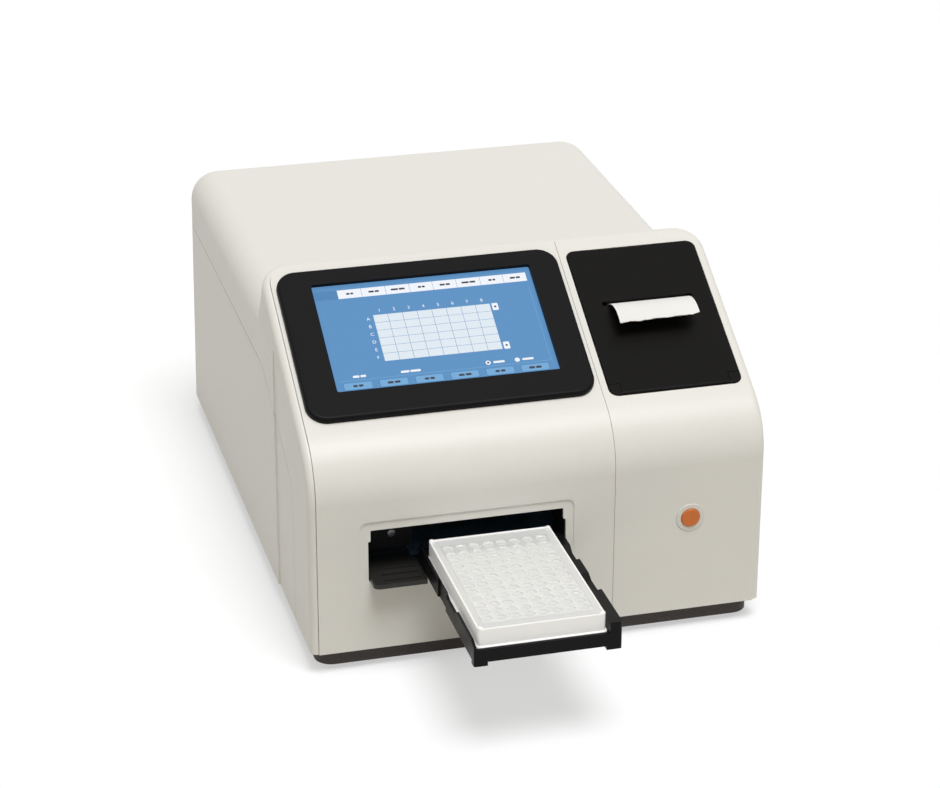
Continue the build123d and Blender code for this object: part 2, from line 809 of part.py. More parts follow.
def carrier_arm():
    """Bracket under the carrier's rear end that reaches left to the slide and the lead screw."""
    cross_front = well_field(0)[3] + 3.0
    inner = rail_x + block_width / 2 + 3
    arm = block(arm_left, carrier_x0 - 0.5, arm_front, carrier_rear + 8, arm_underside, arm_top)
    arm += block(carrier_x0 - 0.5, carrier_x1 - 3, cross_front, carrier_rear + 8, arm_underside, carrier_bottom)
    arm += block(arm_left, inner, carrier_rear + 8, arm_front + arm_depth, arm_underside, arm_top)
    front = arm.edges().filter_by(Axis.Z).sort_by(lambda e: e.center().Y + e.center().X)[0]
    arm = fillet(front, 4)
    for y in (arm_front + 4, arm_front + 12, arm_front + 20):
        arm += block(arm_left + 8, carrier_x0 - 4, y, y + 1.2, arm_top, arm_top + 1.2)
    pad_y = shroud_y1 + baffle_thickness + 4
    arm += block(
        rail_x - block_width / 2, rail_x + block_width / 2, pad_y, pad_y + block_length - 8,
        deck_height + rail_height / 2 + block_height - 2 + 0.0, arm_underside,
    )
    return arm


def block_front():
    return shroud_y1 + baffle_thickness + 1


def slide_block():
    """Recirculating block that straddles the rail."""
    y0 = block_front()
    z0 = deck_height + 3
    z1 = deck_height + rail_height / 2 + block_height - 2
    body = block(rail_x - block_width / 2, rail_x + block_width / 2, y0, y0 + block_length, z0, z1)
    gap = 0.1
    channel = block(
        rail_x - rail_width / 2 - gap, rail_x + rail_width / 2 + gap, y0 - 1, y0 + block_length + 1, z0 - 1,
        rail_top + gap,
    )
    return body - channel


def slide_rail():
    y0 = block_front() - 2
    y1 = y0 + block_length + travel + 8
    rail = block(rail_x - rail_width / 2, rail_x + rail_width / 2, y0, y1, deck_height, rail_top)
    holes = [
        rod_z(rail_x, y0 + 12 + i * (y1 - y0 - 24) / 6, rail_top - 3.5, rail_top + 1, 2.8) for i in range(7)
    ]
    return rail - holes


def screw_span():
    y0 = block_front() + 10
    return y0, y0 + travel + block_length + 26


def lead_nut():
    """Flanged nut in its bracket under the arm."""
    y0 = block_front() + block_length + 2
    bracket = block(screw_x - 9, rail_x + 8, y0, y0 + 10, deck_height + rail_height + 1, arm_underside)
    bracket += rod_y(screw_x, y0 - 6, y0 + 16, screw_z, 7)
    return bracket - rod_y(screw_x, y0 - 8, y0 + 20, screw_z, screw_radius + running_gap)


def lead_screw():
    y0, y1 = screw_span()
    screw = rod_y(screw_x, y0, y1, screw_z, screw_radius)
    return screw + rod_y(screw_x, y1, y1 + 16, screw_z, 2.5)


def screw_coupling():
    y0, y1 = screw_span()
    body = rod_y(screw_x, y1 + 8, y1 + 30, screw_z, 8)
    body -= rod_y(screw_x, y1 + 7, y1 + 16, screw_z, 2.5)
    body += rod_y(screw_x, y1 + 29, y1 + 37, screw_z, 2.5)
    groove = rod_y(screw_x, y1 + 17.2, y1 + 18.8, screw_z, 9) - rod_y(screw_x, y1 + 17, y1 + 19, screw_z, 5)
    return body - groove


def drive_brackets():
    """Two pillow blocks that carry the screw, and the angle plate that carries its motor."""
    y0, y1 = screw_span()
    blocks = []
    for y in (y0 + 2, y1 - 8):
        pillow = block(screw_x - 9, screw_x + 9, y, y + 8, deck_height, screw_z + 7)
        pillow = fillet(pillow.edges().filter_by(Axis.Y).group_by(Axis.Z)[-1], 5)
        blocks.append(pillow - rod_y(screw_x, y - 1, y + 9, screw_z, screw_radius + running_gap))
    y = y1 + 30
    angle = block(screw_x - 17, screw_x + 19, y, y + 2, deck_height, screw_z + 17)
    angle += block(screw_x - 17, screw_x + 19, y - 20, y, deck_height, deck_height + 2)
    blocks.append(angle - rod_y(screw_x, y - 1, y + 3, screw_z, 9))
    return Compound(children=blocks)


def carrier_motor():
    """Square stepper motor with its shaft bore in front."""
    y0, y1 = screw_span()
    half = motor_side / 2
    y = y1 + 32
    motor = block(screw_x - half, screw_x + half, y, y + motor_length, screw_z - half, screw_z + half)
    motor = chamfer(motor.edges().filter_by(Axis.Y), 3)
    return motor - rod_y(screw_x, y - 1, y + 6, screw_z, 2.5 + running_gap)


def deck_span():
    y1 = screw_span()[1]
    return block_front() - 12, y1 + 32


def chassis():
    """Folded steel deck on two side flanges that stand on the base."""
    y0, y1 = deck_span()
    x0 = screw_x - 20
    x1 = opening_right + 22
    t = deck_thickness
    deck = block(x0, x1, y0, y1, deck_height - t, deck_height)
    deck += block(x0, x0 + t, y0, y1, floor_z, deck_height)
    deck += block(x1 - t, x1, y0, y1, floor_z, deck_height)
    wx0, wx1, _, _ = well_field(2)
    deck -= block(wx0, wx1, read_y + 14, read_y + 90, deck_height - 10, deck_height + 1)
    return deck


def detector_block():
    """Bar under the plate's path with one receiving bore for each of the eight channels."""
    x0, x1, _, _ = well_field(3)
    bar = block(x0, x1, read_y - 9, read_y + 9, deck_height, arm_underside - 3)
    bar = chamfer(bar.edges().filter_by(Axis.Z), 2)
    for x in channel_places():
        bar -= rod_z(x, read_y, deck_height + 4, arm_underside, lens_radius)
    return bar


def channel_places():
    first = plate_x - well_pitch * (well_columns - 1) / 2
    return [first + i * well_pitch for i in range(well_columns)]


def upper_deck():
    """Steel plate over the plate's path that carries the optics, on four legs."""
    x0 = screw_x - 20
    x1 = half_width - 12
    y0 = read_y - 22
    y1 = 40.0
    z = upper_deck_height
    t = deck_thickness
    deck = block(x0, x1, y0, y1, z - t, z)
    for y in (y0, y1 - 12):
        deck += block(x0, x0 + t, y, y + 12, deck_height, z)
        deck += block(x1 - t, x1, y, y + 12, floor_z, z)
        deck += block(opening_right + 14, opening_right + 16, y, y + 12, deck_height, z)
    wx0, wx1, _, _ = well_field(3)
    return deck - block(wx0, wx1, read_y - 9, read_y + 9, z - 10, z + 1)


def lens_bar():
    """Block over the reading line that holds the eight upper lenses."""
    x0, x1, _, _ = well_field(3)
    z0 = plate_seat + plate_height + 6
    bar = block(x0, x1, read_y - 9, read_y + 9, z0, upper_deck_height + 14)
    bar += block(x0 - 8, x1 + 8, read_y - 9, read_y + 9, upper_deck_height, upper_deck_height + 3)
    for x in channel_places():
        bar -= rod_z(x, read_y, z0 - 1, z0 + 8, lens_radius)
    return bar


def lenses():
    """The eight receiving lenses, the eight upper lenses and the condenser's lens."""
    low = arm_underside - 3
    high = plate_seat + plate_height + 6
    places = channel_places()
    radius = lens_radius - seat_gap
    lower_row = [rod_z(x, read_y, low - 2.4, low - 0.4, radius) for x in places]
    upper_row = [rod_z(x, read_y, high + 0.8, high + 3.8, radius) for x in places]
    x0 = lamp_x0()
    return Compound(children=lower_row + upper_row + [rod_x(x0 + 4, x0 + 9, beam_y, beam_z, 7 - seat_gap)])


def fibre_bundle():
    """Eight light guides from the ferrule, each turning to the front and down to its lens."""
    guides = []
    top = upper_deck_height + 14
    start = ferrule_x0()
    half = 1.0
    for i, x in enumerate(reversed(channel_places())):
        z = beam_z - 9.6 + i * 2.6
        run = block(x - half, start, beam_y - half, beam_y + half, z - half, z + half)
        run += block(x - half, x + half, read_y - half, beam_y + half, z - half, z + half)
        run += block(x - half, x + half, read_y - half, read_y + half, top, z + half)
        guides.append(run)
    return Compound(children=guides)


def ferrule_x0():
    return opening_right + 20


def fibre_ferrule():
    """Clamp block that gathers the guides behind the filter wheel."""
    x0 = ferrule_x0()
    body = block(x0, x0 + 12, beam_y - 8, beam_y + 8, upper_deck_height, beam_z + 13)
    return chamfer(body.edges().filter_by(Axis.X).group_by(Axis.Z)[-1], 3)


def wheel_x0():
    return ferrule_x0() + 12 + 3


def wheel_centre():
    return beam_y + wheel_pitch, beam_z + 14


def filter_offsets():
    """Places of the filters round the wheel's axis, the first one in the beam."""
    y, z = wheel_centre()
    start = atan2(beam_z - z, beam_y - y)
    radius = ((beam_z - z) ** 2 + (beam_y - y) ** 2) ** 0.5
    return [
        (y + radius * cos(start + 2 * pi * i / filter_count), z + radius * sin(start + 2 * pi * i / filter_count))
        for i in range(filter_count)
    ]


def filter_wheel():
    x = wheel_x0()
    y, z = wheel_centre()
    wheel = rod_x(x, x + wheel_thickness, y, z, wheel_radius)
    wheel += rod_x(x + wheel_thickness, x + wheel_thickness + 5, y, z, 7)
    for fy, fz in filter_offsets():
        wheel -= rod_x(x - 1, x + wheel_thickness + 1, fy, fz, filter_radius)
    return wheel + rod_x(x + wheel_thickness, x + wheel_thickness + 12, y, z, 2.5)


def filter_glasses():
    x = wheel_x0()
    glasses = [rod_x(x + 0.6, x + wheel_thickness - 0.6, y, z, filter_radius - seat_gap) for y, z in filter_offsets()]
    return Compound(children=glasses)


def wheel_motor():
    x = wheel_x0() + wheel_thickness + 6
    y, z = wheel_centre()
    motor = rod_x(x, x + 22, y, z, 14)
    motor += block(x + 1, x + 3, y - 14, y + 14, upper_deck_height, z)
    return motor - rod_x(x - 1, x + 8, y, z, 2.5 + running_gap)


def lamp_x0():
    return wheel_x0() + wheel_thickness + 3


def condenser_tube():
    """Lens tube between the lamp and the filter wheel, on its saddle."""
    x0 = lamp_x0()
    tube = rod_x(x0, x0 + 24, beam_y, beam_z, 9) - rod_x(x0 - 1, x0 + 25, beam_y, beam_z, 7)
    saddle = block(x0 + 6, x0 + 18, beam_y - 7, beam_y + 4, upper_deck_height, beam_z - 7.5)
    return tube + saddle


def beam_mounts():
    """The guides' clamp block and the lens tube, one each side of the filter wheel."""
    return Compound(children=[fibre_ferrule(), condenser_tube()])


def lamp_housing():
    """Vented box round the halogen lamp, open to the lens tube."""
    x0 = lamp_x0() + 24
    box = block(x0, x0 + 40, beam_y - 20, beam_y + 12, upper_deck_height, beam_z + 18)
    box -= block(x0 + 2, x0 + 38, beam_y - 18, beam_y + 10, upper_deck_height + 2, beam_z + 16)
    box -= rod_x(x0 - 1, x0 + 3, beam_y, beam_z, 7)
    for i in range(5):
        x = x0 + 7 + i * 6
        box -= block(x, x + 2.5, beam_y - 12, beam_y + 6, beam_z + 10, beam_z + 20)
    return box


def halogen_lamp():
    x = lamp_x0() + 24 + 20
    bulb = Pos(x, beam_y, beam_z) * Sphere(4.5)
    bulb += rod_z(x, beam_y, upper_deck_height + 12, beam_z - 3, 3.5)
    return bulb + rod_z(x, beam_y, upper_deck_height + 2, upper_deck_height + 12, 8)


# ---- electronics and rear ----
def main_board():
    x0 = opening_right + 30
    board = block(x0, half_width - 16, read_y - 60, 60, floor_z + 8, floor_z + 9.6)
    for x in (x0 + 8, half_width - 24):
        for y in (read_y - 52, 52):
            board += rod_z(x, y, floor_z, floor_z + 8, 3.5)
    z = floor_z + 9.6
    board += block(x0 + 30, x0 + 58, -60, -32, z, z + 2.5)
    board += block(x0 + 14, x0 + 28, -20, 20, z, z + 6)
    board += block(x0 + 50, x0 + 64, 10, 40, z, z + 10)
    for y in (-130, -114, -98):
        board += rod_z(x0 + 18, y, z, z + 12, 5)
    return board


def circuit_boards():
    return Compound(children=[main_board(), display_board()])


def power_supply():
    """Boxed supply with its slotted lid."""
    x0 = opening_right + 27
    x1 = half_width - 14
    box = block(x0, x1, 76, 178, floor_z, floor_z + 40)
    for i in range(7):
        x = x0 + 12 + i * 12
        box -= block(x, x + 5, 90, 164, floor_z + 37, floor_z + 41)
    return box


def rear_outline(grow):
    return slab(0, rear_panel_height / 2 + 12, rear_panel_width + 2 * grow, rear_panel_height + 2 * grow, -wall, 0, 3)


inlet_place = (-84.0, 34.0)
switch_place = (-84.0, 62.0)
port_places = ((-30.0, 34.0, 31.0, 12.5), (20.0, 34.0, 14.0, 12.0), (44.0, 34.0, 13.0, 6.0))
fan_place = (66.0, 74.0)


def rear_panel():
    """Metal panel in the rear wall, with its cut-outs and the fan's guard slots."""
    panel = slab(0, rear_panel_height / 2 + 12, rear_panel_width - 0.6, rear_panel_height - 0.6, -1.5, 0, 2)
    flange = slab(0, rear_panel_height / 2 + 12, rear_panel_width + 8, rear_panel_height + 8, -wall - 1.5, -wall, 2)
    panel += flange - slab(0, rear_panel_height / 2 + 12, rear_panel_width - 8, rear_panel_height - 8, -9, 1, 2)
    panel += (
        slab(0, rear_panel_height / 2 + 12, rear_panel_width - 0.6, rear_panel_height - 0.6, -wall, -1.5, 2)
        - slab(0, rear_panel_height / 2 + 12, rear_panel_width - 8, rear_panel_height - 8, -9, 1, 2)
    )
    panel -= slab(*inlet_place, 27.4, 20.0, -9, 1, 2)
    panel -= slab(*switch_place, 21.4, 15.0, -9, 1, 1)
    for x, y, width, height in port_places:
        panel -= slab(x, y, width + 0.6, height + 0.6, -9, 1, 0.8)
    x, y = fan_place
    for i in range(7):
        offset = (i - 3) * 7.0
        length = 2 * (26.0 ** 2 - offset ** 2) ** 0.5
        panel -= slab(x, y + offset, length, 4.0, -9, 1, 1.9)
    return rear * panel


def power_inlet():
    """Three-pin appliance inlet, set through the panel."""
    body = slab(*inlet_place, 27.0, 19.6, -22, 1.2, 1.8)
    body += slab(*inlet_place, 31.0, 24.0, 0, 1.6, 2)
    body -= slab(*inlet_place, 23.5, 16.0, -14, 3, 3)
    x, y = inlet_place
    for dx, dy in ((0, 3.5), (-7, -2.5), (7, -2.5)):
        body += block(x + dx - 1.0, x + dx + 1.0, y + dy - 2.0, y + dy + 2.0, -14.5, -2)
    return rear * body


def mains_switch():
    body = slab(*switch_place, 21.0, 14.6, -16, 0.8, 1)
    body += slab(*switch_place, 24.0, 17.6, 0, 1.4, 1)
    x, y = switch_place
    body -= slab(*switch_place, 18.0, 11.6, -13, 3, 0.5)
    return rear * (body - rod_x(x - 10, x + 10, y, rocker_depth, rocker_pin_radius + running_gap))


def mains_rocker():
    x, y = switch_place
    points = [(a, b + rocker_depth) for a, b in ((-4.4, -1.0), (-4.6, 4.0), (0.0, 2.6), (4.6, 2.4), (4.4, -2.4), (0.0, -4.0))]
    body = extrude(Plane.YZ.offset(-8.6) * make_face(Polyline(*points, close=True)), 17.2)
    body += rod_x(-9.9, 9.9, 0, rocker_depth, rocker_pin_radius)
    return rear * Pos(x, y, 0) * body


def data_ports():
    """Serial, printer and memory sockets on one strip behind the panel."""
    ports = []
    for x, y, width, height in port_places:
        shell = slab(x, y, width, height, -9, 0.8, 0.7)
        shell -= slab(x, y, width - 2.4, height - 2.4, -6, 2, 0.5)
        ports.append(rear * (shell + slab(x, y, width - 6, (height - 2.4) / 2.6, -6.5, -1, 0.3)))
    return Compound(children=ports)


def fan_frame():
    x, y = fan_place
    back = -wall - 1.5
    frame = slab(x, y, fan_size, fan_size, back - fan_depth, back, 4)
    for sx in (-1, 1):
        for sy in (-1, 1):
            boss = Cylinder(4, wall + 0.5)
            frame += Pos(x + sx * fan_hole_offset, y + sy * fan_hole_offset, back + (wall - 0.5) / 2) * boss
    frame -= Pos(x, y, back - fan_depth / 2) * Cylinder(fan_size / 2 - 1.5, fan_depth + 2)
    for angle in (45, 135, 225, 315):
        strut = block(10, fan_size / 2 - 0.8, -1.2, 1.2, back - fan_depth, back - fan_depth + 2)
        frame += Pos(x, y, 0) * Rot(0, 0, angle) * strut
    frame += Pos(x, y, back - fan_depth + 1) * Cylinder(11, 2)
    frame += Pos(x, y, back - fan_depth + 5) * Cylinder(2, 8)
    return rear * frame


def fan_rotor():
    """Hub with seven pitched blades."""
    x, y = fan_place
    back = -wall - 1.5
    z0 = back - fan_depth + 3
    z1 = back - 1.5
    hub = Cylinder(11, z1 - z0)
    for i in range(7):
        blade = Pos(18.5, 0, 0) * Rot(38, 0, 0) * Box(17, 1.4, 11)
        hub += Rot(0, 0, i * 360 / 7) * blade
    rotor = Pos(x, y, (z0 + z1) / 2) * hub
    rotor -= Pos(x, y, z0 + 4) * Cylinder(2 + running_gap, 12)
    return rear * rotor


def screw_heads():
    """The pan head on the baffle and the four on the rear panel."""
    x = opening_left + 22
    z = opening_top - 17.5
    head = rod_y(x, shroud_y1 - 2.2, shroud_y1, z, 3.5)
    heads = [fillet(head.edges().sort_by(Axis.Y)[0], 0.9)]
    half_x = rear_panel_width / 2 - 6
    for x in (-half_x, half_x):
        for y in (18, rear_panel_height + 6):
            heads.append(rear * Pos(x, y, 0.8) * Cylinder(screw_head_radius, 1.6))
    return Compound(children=heads)


# ---- microplate ----
def microplate_frame():
    """Skirted plate frame: a wide foot, straight walls and a rim with corner nubs."""
    foot = slab(plate_x, plate_front + plate_length / 2, plate_width, plate_length, plate_seat, plate_seat + 2.0, 3)
    top = plate_seat + plate_height
    walls = slab(
        plate_x, plate_front + plate_length / 2, plate_width - 2.4, plate_length - 2.4, plate_seat, top - 1.0, 2.4
    )
    x0, x1, y0, y1 = well_field(1.6)
    hollow = block(x0, x1, y0, y1, plate_seat - 1, top + 1)
    frame = foot + walls
    for sx in (-1, 1):
        for sy in (-1, 1):
            x = plate_x + sx * (plate_width / 2 - 4.2)
            y = plate_front + plate_length / 2 + sy * (plate_length / 2 - 4.2)
            frame += rod_z(x, y, top - 1.2, top + 0.6, 2.4)
    return frame - hollow


def well_strips():
    """Twelve strips of eight wells, seated side by side in the frame."""
    x0, x1, _, _ = well_field(1.3)
    top = plate_seat + plate_height
    first = plate_front + plate_length / 2 - well_pitch * (well_rows - 1) / 2
    strips = []
    for row in range(well_rows):
        y = first + row * well_pitch
        strip = block(x0, x1, y - 4.35, y + 4.35, top - well_depth - 1, top)
        pockets = [
            Pos(x, y, top - well_depth) * extrude(RegularPolygon(well_radius, 8), well_depth + 1)
            for x in channel_places()
        ]
        strips.append(strip - pockets)
    return Compound(children=strips)


PARTS = {
    "upper_housing": upper_housing,
    "lower_housing": lower_housing,
    "screen_fascia": screen_fascia,
    "printer_fascia": printer_fascia,
    "base_plate": base_plate,
    "rubber_feet": rubber_feet,
    "rear_panel": rear_panel,
    "screw_heads": screw_heads,
    "power_inlet": power_inlet,
    "mains_switch": mains_switch,
    "mains_rocker": mains_rocker,
    "data_ports": data_ports,
    "fan_frame": fan_frame,
    "fan_rotor": fan_rotor,
    "display_bezel": display_bezel,
    "touch_glass": touch_glass,
    "lcd_module": lcd_module,
    "printer_door": printer_door,
    "hinge_pins": hinge_pins,
    "printer_bucket": printer_bucket,
    "paper_roll": paper_roll,
    "roll_core": roll_core,
    "platen_roller": platen_roller,
    "platen_shaft": platen_shaft,
    "platen_gear": platen_gear,
    "pinion_gear": pinion_gear,
    "printer_motor": printer_motor,
    "print_head": print_head,
    "receipt_paper": receipt_paper,
    "button_ring": button_ring,
    "power_button": power_button,
    "button_switch": button_switch,
    "tray_shroud": tray_shroud,
    "tray_baffle": tray_baffle,
    "microplate_frame": microplate_frame,
    "well_strips": well_strips,
    "plate_carrier": plate_carrier,
    "plate_spring": plate_spring,
    "carrier_arm": carrier_arm,
    "slide_block": slide_block,
    "slide_rail": slide_rail,
    "lead_nut": lead_nut,
    "lead_screw": lead_screw,
    "screw_coupling": screw_coupling,
    "drive_brackets": drive_brackets,
    "carrier_motor": carrier_motor,
    "chassis": chassis,
    "detector_block": detector_block,
    "upper_deck": upper_deck,
    "lens_bar": lens_bar,
    "lenses": lenses,
    "fibre_bundle": fibre_bundle,
    "filter_wheel": filter_wheel,
    "filter_glasses": filter_glasses,
    "wheel_motor": wheel_motor,
    "beam_mounts": beam_mounts,
    "lamp_housing": lamp_housing,
    "halogen_lamp": halogen_lamp,
    "circuit_boards": circuit_boards,
    "power_supply": power_supply,
}

os.makedirs("parts", exist_ok=True)
for name, make in PARTS.items():
    export_step(make(), f"parts/{name}.step")
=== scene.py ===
"""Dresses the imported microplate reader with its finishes, display, printer parts, plate and studio."""

import logging
import math
import random
from dataclasses import dataclass
from enum import Enum
from typing import Any, Callable, Iterable, Sequence

import bmesh
import bpy
from mathutils import Matrix, Vector


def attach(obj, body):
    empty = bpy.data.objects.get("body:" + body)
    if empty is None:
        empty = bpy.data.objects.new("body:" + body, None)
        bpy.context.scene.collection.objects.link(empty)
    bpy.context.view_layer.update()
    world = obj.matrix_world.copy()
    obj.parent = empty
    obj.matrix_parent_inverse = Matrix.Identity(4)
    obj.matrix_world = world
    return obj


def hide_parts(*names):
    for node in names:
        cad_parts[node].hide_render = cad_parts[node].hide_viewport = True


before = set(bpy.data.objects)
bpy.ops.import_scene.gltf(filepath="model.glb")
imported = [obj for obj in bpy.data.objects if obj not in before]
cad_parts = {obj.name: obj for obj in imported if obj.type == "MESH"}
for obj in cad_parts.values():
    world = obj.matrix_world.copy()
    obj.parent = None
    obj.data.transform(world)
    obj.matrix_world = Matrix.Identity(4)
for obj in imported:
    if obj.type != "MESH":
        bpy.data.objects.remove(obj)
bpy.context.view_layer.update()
LOG = logging.getLogger("microplate_reader")
MM = 0.001

Colour = tuple[float, float, float]
Point = tuple[float, float]


# ---------------------------------------------------------------- node trees
class Wire:
    """A value on its way between two nodes, open to plain arithmetic."""

    def __init__(self, graph: "NodeGraph", socket: bpy.types.NodeSocket) -> None:
        """Keeps the graph and the socket that the value comes out of."""
        self.graph = graph
        self.socket = socket

    def _math(self, operation: str, first: Any, second: Any) -> "Wire":
        """Adds a Math node.

        Args:
            operation: Blender's name of the operation.
            first: wire or number for the upper socket.
            second: wire or number for the lower socket.

        Returns:
            The node's result.
        """
        return self.graph.node("ShaderNodeMath", {"operation": operation}, {0: first, 1: second})

    def __add__(self, other: Any) -> "Wire":
        """Sum of two values."""
        return self._math("ADD", self, other)

    __radd__ = __add__

    def __mul__(self, other: Any) -> "Wire":
        """Product of two values."""
        return self._math("MULTIPLY", self, other)

    __rmul__ = __mul__

    def __sub__(self, other: Any) -> "Wire":
        """Difference of two values."""
        return self._math("SUBTRACT", self, other)

    def __rsub__(self, other: Any) -> "Wire":
        """Number less this value."""
        return self._math("SUBTRACT", other, self)

    def __truediv__(self, other: Any) -> "Wire":
        """Quotient of two values."""
        return self._math("DIVIDE", self, other)

    def __gt__(self, other: Any) -> "Wire":
        """One where this value is above the other, and zero elsewhere."""
        return self._math("GREATER_THAN", self, other)

    def clamped(self) -> "Wire":
        """The value kept between zero and one."""
        return self.graph.node("ShaderNodeClamp", {}, {0: self})


class NodeGraph:
    """A node tree with a single way to add a node."""

    def __init__(self, tree: bpy.types.NodeTree) -> None:
        """Keeps the tree that the nodes go in."""
        self.tree = tree

    def node(
        self,
        kind: str,
        settings: dict[str, Any] | None = None,
        sockets: dict[Any, Any] | None = None,
        output: int | str = 0,
    ) -> Wire | None:
        """Adds a node, sets it up and links it.

        Args:
            kind: the node's type name.
            settings: its properties.
            sockets: a number, colour or Wire for each input, by name or index.
            output: which output to hand on.

        Returns:
            The chosen output, or None for a node that has none.
        """
        made = self.tree.nodes.new(kind)
        for name, value in (settings or {}).items():
            setattr(made, name, value)
        for key, value in (sockets or {}).items():
            if isinstance(value, Wire):
                self.tree.links.new(value.socket, made.inputs[key])
            else:
                made.inputs[key].default_value = value
        return Wire(self, made.outputs[output]) if made.outputs else None


class Shader(NodeGraph):
    """The node tree of one material."""

    def __init__(self, name: str) -> None:
        """Starts an empty material of that name."""
        self.material = bpy.data.materials.new(name)
        self.material.use_nodes = True
        super().__init__(self.material.node_tree)
        self.tree.nodes.clear()
        self.coordinates = self.node("ShaderNodeTexCoord", {}, {}, "Object")

    def placed(self, stretch: Sequence[float] = (1, 1, 1), centre: Sequence[float] = (0, 0, 0)) -> Wire:
        """Object coordinates about a centre, stretched along the axes.

        Args:
            stretch: factor on each axis.
            centre: the point, in metres, that becomes the pattern's origin.

        Returns:
            The coordinates.
        """
        offset = tuple(-c * s for c, s in zip(centre, stretch))
        return self.node("ShaderNodeMapping", {}, {0: self.coordinates, 1: offset, 3: tuple(stretch)})

    def noise(self, size: float, detail: float = 2.0, stretch: Sequence[float] = (1, 1, 1)) -> Wire:
        """Cloudy noise.

        Args:
            size: breadth of one cloud in metres.
            detail: how many finer layers are added.
            stretch: factor on each axis.

        Returns:
            Value from 0 to 1.
        """
        vector = self.placed(stretch)
        return self.node("ShaderNodeTexNoise", {}, {"Vector": vector, "Scale": 1 / size, "Detail": detail})

    def cells(self, size: float) -> Wire:
        """Distance from the nearest of many scattered points.

        Args:
            size: mean spacing in metres.

        Returns:
            The distance, about 0 to 1.
        """
        return self.node("ShaderNodeTexVoronoi", {}, {"Vector": self.placed(), "Scale": 1 / size})

    def blend(self, factor: Wire | float, first: Any, second: Any) -> Wire:
        """Mixes two colours.

        Args:
            factor: 0 gives the first, 1 the second.
            first: colour or Wire.
            second: colour or Wire.

        Returns:
            The mixed colour.
        """
        ends = [(*end, 1.0) if isinstance(end, tuple) else end for end in (first, second)]
        return self.node("ShaderNodeMix", {"data_type": "RGBA"}, {0: factor, 6: ends[0], 7: ends[1]}, 2)

    def relief(self, height: Wire, depth: float) -> Wire:
        """Bump from a height.

        Args:
            height: value from 0 to 1.
            depth: what 1 stands for, in metres.

        Returns:
            The bent normal.
        """
        return self.node("ShaderNodeBump", {}, {"Strength": 1.0, "Distance": depth, "Height": height})

    def surface(self, **sockets: Any) -> bpy.types.Material:
        """Ends the tree in a Principled shader.

        Args:
            **sockets: its inputs, with underscores for spaces.

        Returns:
            The finished material.
        """
        named = {key.replace("_", " "): value for key, value in sockets.items()}
        for key in ("Base Color", "Emission Color"):
            if isinstance(named.get(key), tuple):
                named[key] = (*named[key], 1.0)
        body = self.node("ShaderNodeBsdfPrincipled", {}, named)
        self.node("ShaderNodeOutputMaterial", {}, {"Surface": body})
        return self.material


# ---------------------------------------------------------------- finishes
@dataclass(frozen=True)
class Finish:
    """A moulded or painted surface with a fine grain and a slow drift of colour.

    Attributes:
        name: what the finish is called.
        slot: the record's material slot that it belongs to.
        colour: linear colour.
        roughness: mean roughness.
        grain: breadth of the surface grain in metres.
        depth: depth of that grain in metres.
        drift: how far the colour wanders, as a share.
        metallic: 0 or 1.
        coat: weight of a clear coat.
        alpha: opacity.
        emission: strength of its own light; on the display this is the screen's real light, while on the plate and its
            wells it is a painted glow that stands in for light passing through the plastic.
        specular: reflectance at right angles, as Blender's specular level.
    """

    name: str
    slot: str
    colour: Colour
    roughness: float = 0.5
    grain: float = 0.0007
    depth: float = 0.00004
    drift: float = 0.04
    metallic: float = 0.0
    coat: float = 0.0
    alpha: float = 1.0
    emission: float = 0.0
    specular: float = 0.5

    def material(self) -> bpy.types.Material:
        """The finish's material, made once."""
        return bpy.data.materials.get(self.name) or self.paint(Shader(self.name))

    def tone(self, shader: Shader, size: float = 0.045) -> Wire:
        """The colour with its slow drift.

        Args:
            shader: the tree to add to.
            size: breadth of a patch in metres.

        Returns:
            The colour.
        """
        cloud = shader.noise(size, 3.0)
        dark = tuple(c * (1 - self.drift) for c in self.colour)
        light = tuple(min(1.0, c * (1 + self.drift)) for c in self.colour)
        return shader.blend(cloud, dark, light)

    def fixed(self) -> dict[str, Any]:
        """Sockets that are the same all over the surface."""
        settings = {
            "Metallic": self.metallic, "Coat_Weight": self.coat, "Alpha": self.alpha,
            "Specular_IOR_Level": self.specular,
        }
        if self.emission:
            settings["Emission_Strength"] = self.emission
            settings["Emission_Color"] = self.colour
        return settings

    def end(self, shader: Shader, colour: Any, rough: Wire, height: Wire) -> bpy.types.Material:
        """Ends the tree in the shader with its fixed sockets.

        Args:
            shader: the tree.
            colour: base colour.
            rough: roughness.
            height: height of the surface's relief.

        Returns:
            The finished material.
        """
        normal = shader.relief(height, self.depth)
        return shader.surface(Base_Color=colour, Roughness=rough, Normal=normal, **self.fixed())

    def paint(self, shader: Shader) -> bpy.types.Material:
        """Builds the node tree.

        Args:
            shader: an empty material.

        Returns:
            The finished material.
        """
        cloud = shader.noise(0.012, 3.0)
        grain = shader.noise(self.grain, 2.0)
        return self.end(shader, self.tone(shader), (self.roughness - 0.05) + cloud * 0.1, grain)


@dataclass(frozen=True)
class Brushed(Finish):
    """Metal with fine lines along one axis.

    Attributes:
        along: axis of the lines, 0 to 2.
    """

    along: int = 1

    def paint(self, shader: Shader) -> bpy.types.Material:
        """Builds the node tree with noise drawn out along the lines."""
        stretch = [1.0, 1.0, 1.0]
        stretch[self.along] = 0.02
        lines = shader.noise(self.grain, 3.0, stretch)
        stain = shader.noise(0.03, 4.0)
        rough = (self.roughness - 0.12) + lines * 0.16 + stain * 0.1
        return self.end(shader, self.tone(shader), rough, lines)


